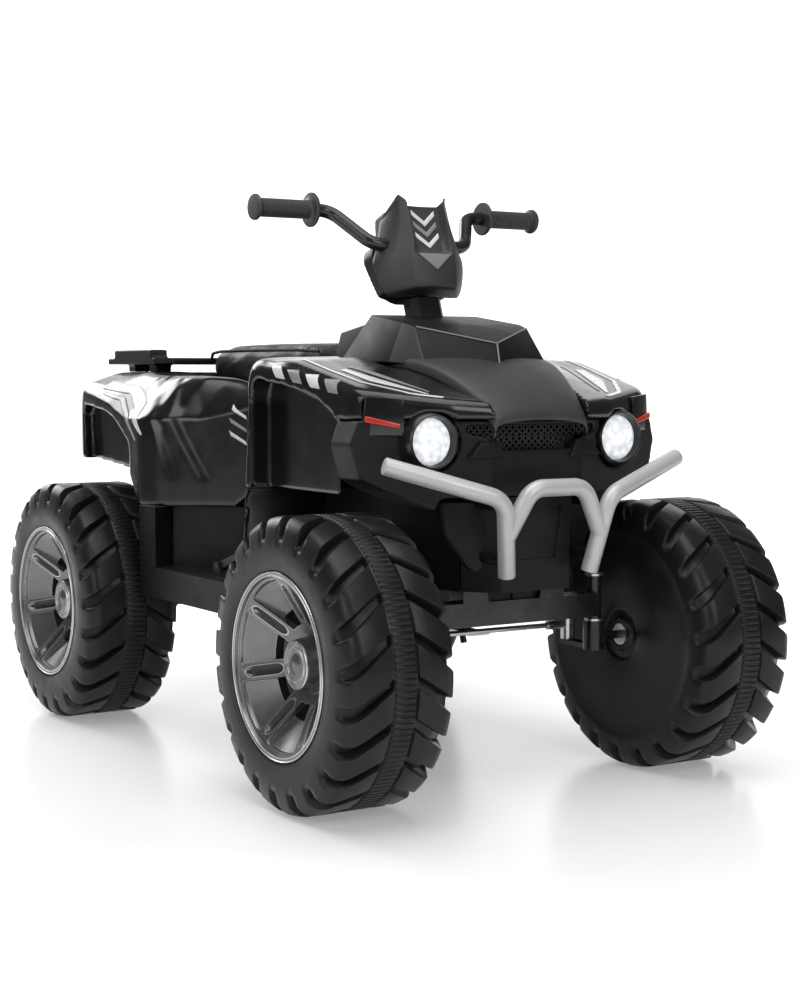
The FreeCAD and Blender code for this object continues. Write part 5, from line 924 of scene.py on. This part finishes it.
def seat():
    """Stuffed vinyl saddle, blown up as cloth, with a stitched bead round its upper edge."""
    rows = []
    for y, half, top in SEAT_LINE:
        low, high = SEAT_BASE, top - 3
        ring = [(0, low), (0.5, low), (0.84, low), (0.94, low + 4), (0.97, (low + high) / 2),
                (0.95, high - 11), (0.9, high - 5), (0.74, high - 1.5), (0.4, high + 0.5), (0, high + 1)]
        ring += [(-share, z) for share, z in reversed(ring[1:-1])]
        rows.append([(half * share, y, z) for share, z in ring])
    cushion = piece("saddle", *capped(rows), VINYL, "frame", "seat_cushion", sharp=180)
    modified(cushion, "REMESH", mode="VOXEL", voxel_size=0.005)
    rest = [point.co.copy() for point in cushion.data.vertices]
    cloth = cushion.modifiers.new("cloth", "CLOTH")
    cloth.settings.use_pressure = True
    cloth.settings.uniform_pressure_force = PRESSURE
    cloth.settings.effector_weights.gravity = 0
    for step in range(1, CLOTH_FRAMES + 1):
        scene.frame_set(step)
    settled(cushion)
    scene.frame_set(1)
    for point, start in zip(cushion.data.vertices, rest):
        move = point.co - start
        if move.length > MOST_MOVE:
            point.co = start + move * (MOST_MOVE / move.length)
        point.co.z = max(point.co.z, SEAT_BASE / 1000 - MOST_SAG)
    modified(cushion, "SUBSURF", levels=1)
    cushion.data.shade_smooth()
    edge = [Vector((-half + 1.5, y, top - 6)) for y, half, top in SEAT_LINE[1:-1]]
    edge += [Vector((-x, y, z)) for x, y, z in reversed(edge)]
    fine_edge = []
    for a, b in zip(edge, edge[1:]):
        steps = max(1, round((b - a).length / STITCH))
        fine_edge += [a + (b - a) * k / steps for k in range(steps)]
    beads = [1.7 + 0.6 * (k % 4 < 2) for k in range(len(fine_edge))]
    tube("saddle_bead", fine_edge, beads, VINYL, "frame", sides=10)


seat()


# Dash

def raked(x, ahead, up):
    """A point of the steering: across, ahead of the shaft and up along it."""
    back, high = sin(RAKE), cos(RAKE)
    return x, FOOT[1] + up * back - ahead * high, FOOT[2] + up * high + ahead * back


def raked_row(half):
    """Both halves of a row of the steering, from its middle outwards."""
    return [raked(-x, ahead, up) for x, ahead, up in reversed(half[1:])] + [raked(*place) for place in half]


# Half of the dash cover: how far up the shaft, then (across, ahead) from its middle out; its upper edge.
DASH_ROWS = [
    (399, (0, 10), (10, 10), (18, 9), (26, 8), (34, 7), (38, 5)),
    (400, (0, 40), (15, 39), (29, 36), (39, 27), (47, 14), (51, 5)),
    (405, (0, 43), (16, 42), (30, 39), (42, 29), (52, 15), (57, 5)),
    (422, (0, 46), (17, 45), (30, 43), (46, 32), (58, 17), (63, 5)),
    (440, (0, 48), (21, 47), (29, 46), (48, 34), (61, 18), (66, 5)),
    (446, (0, 40), (22, 40), (27.5, 47), (47, 34), (60, 18), (65, 5)),
    (460, (0, 38), (22.5, 38), (27, 47.5), (43, 35), (54, 18), (58, 5)),
    (480, (0, 37), (23, 37), (26.6, 48), (38, 37), (46, 20), (50, 5)),
    (500, (0, 36), (23, 36), (26.6, 48), (35.5, 39), (41, 22), (44, 5)),
]
DASH_EDGE = [(0, 36, 508), (23, 36.5, 508.5), (27, 46, 512), (34, 41, 521.5), (38, 24, 511), (40, 5, 502)]
# Creases down the dash (ridges, panel, ears): columns, the row they start at, their sharpness.
DASH_CREASES = (((3, 7), 1, 0.9), ((4, 6), 4, 0.8), ((2, 8), 5, 0.7))
CHIN_ROW, PANEL_ROWS, PANEL_COLUMNS = 1, (4, 5), range(3, 7)


def dash_crease(row, column, next_row, _):
    """How sharp the dash stays along an edge between two points of its rows."""
    if row == next_row:
        if row == len(DASH_ROWS):
            return 1
        return 0.85 if row == CHIN_ROW or row in PANEL_ROWS and column in PANEL_COLUMNS else 0
    for columns, start, weight in DASH_CREASES:
        if column in columns and row >= start:
            return weight
    return 0


def dash():
    """Eared dash cover: a panel sunk between two ridges, flat flanks, a swept chin and a pale wedge painted
    as a highlight.
    """
    rows = [raked_row([(x, ahead, up) for x, ahead in half]) for up, *half in DASH_ROWS]
    for back in (0, 3, 8):
        rows.append(raked_row([(x, max(4, ahead - back), up - back) for x, ahead, up in DASH_EDGE]))
    # A pale grey wedge under the shelf: a painted highlight for a lit facet.
    lit_wedge = [(-24, 47.2, 441), (24, 47.2, 441), (0, 46.8, 420)]
    points = [raked(x, ahead + out, up) for out in (-3, 1.2) for x, ahead, up in lit_wedge]
    faces = [(0, 1, 2), (3, 4, 5), (0, 1, 4, 3), (1, 2, 5, 4), (2, 0, 3, 5)]
    bevelled(piece("dash_wedge", points, faces, GREY, "steering"), 0.8)
    return sheet("dash_front", rows, TRIM, "steering", "dash_cover_front", thick=2.5, crease=dash_crease)


DASH = dash()


# Face details

# The lattice: two fields as (top, foot, half width at each), pitch, slant, half a bar's width and taper.
FIELDS = ((433, 414, 104, 100), (414, 391, 67, 46))
LATTICE_PITCH, LATTICE_SLANT, BAR_HALF, BAR_TAPER = 9, 1.1, 1.1, 0.6
SHORTEST_BAR = 3
BOX_FACES = ((0, 1, 3, 2), (4, 5, 7, 6), (0, 1, 5, 4), (2, 3, 7, 6), (0, 2, 6, 4), (1, 3, 7, 5))


def grille():
    """Diamond lattice over the mouth between the lamps, with a black block behind it as painted shade."""
    level = FRONT - 44
    points, faces = [], []
    for high, low, wide, narrow in FIELDS:
        tall = high - low
        for slant, k in ((slant, k) for slant in (-1, 1) for k in range(-20, 21)):
            ends = []
            for share, limit in ((0, wide), (1, narrow)):
                x = LATTICE_PITCH * k + slant * (share - 0.5) * tall * LATTICE_SLANT
                ends.append((max(-limit, min(limit, x)), high - share * tall))
            if abs(ends[0][0] - ends[1][0]) < SHORTEST_BAR:
                continue
            across = Vector((ends[1][1] - ends[0][1], 0, ends[0][0] - ends[1][0])).normalized() * BAR_HALF
            first = len(points)
            for y, wide_share in ((level + 2, 1), (level - 1.6, BAR_TAPER)):
                points += [Vector((x, y, z)) + across * s * wide_share for x, z in ends for s in (-1, 1)]
            faces += [tuple(first + n for n in face) for face in BOX_FACES]
    piece("grille_lattice", points, faces, TRIM, "frame", "grille_mesh")
    # A matte black block behind the lattice: painted shade inside the mouth.
    piece("grille_shade", *mouth_block(level + 1.6, 3, grow=1.02), TUB, "frame")


grille()
# Pads and fillers: a face's corners on the +X side, its depth and its look.
SLABS = {
    "face_pads": ([(78, -408, 408), (54, -410, 409), (46, -410, 390), (91, -407, 391)], (0, 16, 0), DOME),
    "waist_fillers": ([(112, -142, 486), (112, -90, 462), (112, -90, 372), (112, -142, 372)],
                      (-4, 0, 0), TUB),
    "skirt_flanks": ([(46, -398, 338), (108, -373, 340), (104, -373, 304), (76, -378, 264), (56, -390, 250)],
                     (0, 6, 0), TUB),
    "sill_lips": ([(118, -113, 228.3), (231, -113, 228.3), (231, -99.7, 228.3), (118, -99.7, 228.3)],
                  (0, 0, 2.4), TUB),
    "skirt_lips": ([(2, -356, 246), (62, -356, 246), (62, -356, 216), (2, -356, 216)], (0, 4, 0), TUB),
}
for name, (face, deep, look) in SLABS.items():
    slabs(name, face, deep, look)


# Plain stripes in place of the stickers

DOWN = (0, 0, -1)
# Stripes seen from above, both edges as (x, y) on the +X side; those on a hip, both edges as (y, z).
TOP_STRIPES = (
    ("fender_line", WHITE, [(196, -205), (192, -262), (184, -318), (150, -372), (118, -389)],
     [(191.5, -202), (187.5, -259), (179.5, -315), (145.5, -369), (113.5, -386)]),
    ("fender_dart", WHITE, [(176, -262), (168, -314), (128, -374)], [(166, -258), (148, -310), (126, -373)]),
    ("fender_shade", GREY, [(160, -250), (143, -304), (122, -366)], [(152, -246), (137, -300), (120, -364)]),
)
HIP_STRIPES = (
    ("hip_arc", WHITE, [(350, 474), (251, 467), (192, 446), (158, 404)],
     [(345, 463), (258, 456), (205, 430), (160, 402)]),
    ("hip_arc_shade", GREY, [(330, 459), (262, 452), (214, 428), (176, 396)],
     [(326, 455), (266, 447), (222, 424), (180, 394)]),
)
# Rows of short bars: the first one's place, the pitch, and how the fender's fall along it.
BARS_START, BARS_PITCH, BARS_FALL = -182, 34, 0.16
WAIST_TOP, WAIST_PITCH = 444, 17
CHEVRON_TOP, CHEVRON_PITCH = 503, 15
# Where films start from, clear of the side, the top and the dash.
OFF_SIDE, OFF_TOP, OFF_DASH = 400, 700, 90


def stripes():
    """White and grey stripes on the fenders, the hips and the dash."""
    for hand, side in SIDES:
        shell, inwards = FENDERS[hand], (-side, 0, 0)

        def beside(y, z):
            return side * OFF_SIDE, y, z

        def above(x, y):
            return side * x, y, OFF_TOP

        for k in range(4):
            front = BARS_START - BARS_PITCH * k
            drop = BARS_FALL * (front - BARS_START)
            film(f"fender_bar_{hand}_{k}", shell, [(front, 495 + drop), (front - 20, 494 + drop)],
                 [(front - 14, 480 + drop), (front - 32, 478 + drop)], (WHITE, GREY)[k % 2], beside, inwards)
        for name, look, first, second in TOP_STRIPES:
            film(f"{name}_{hand}", shell, first, second, look, above, DOWN)
        for name, look, first, second in HIP_STRIPES:
            film(f"{name}_{hand}", HIPS, first, second, look, beside, inwards)
        for k in range(3):
            low = WAIST_TOP - WAIST_PITCH * k
            film(f"waist_bar_{hand}_{k}", HIPS, [(68, low), (50, low - 15)], [(66, low - 7), (49, low - 20)],
                 (WHITE, GREY)[k % 2], beside, inwards, count=8)
    back = Vector((0, cos(RAKE), -sin(RAKE)))

    def before_dash(x, up):
        return raked(x, OFF_DASH, up)

    for k in range(3):
        high = CHEVRON_TOP - CHEVRON_PITCH * k
        film(f"dash_chevron_{k}", DASH, [(-17, high), (0, high - 15), (17, high)],
             [(-17, high - 7), (0, high - 22), (17, high - 7)], (WHITE, GREY)[k % 2], before_dash, back,
             body="steering")


stripes()

studio()
for end, axle in (("front", FRONT), ("rear", REAR)):
    for hand, side in SIDES:
        wheel = f"wheel_{end}_{hand}"
        tyre(f"lugged_{end}_{hand}", side, axle, wheel, f"tyre_{end}_{hand}")
        hub_cap(f"spoked_{end}_{hand}", side, axle, wheel, f"hub_cap_{end}_{hand}")
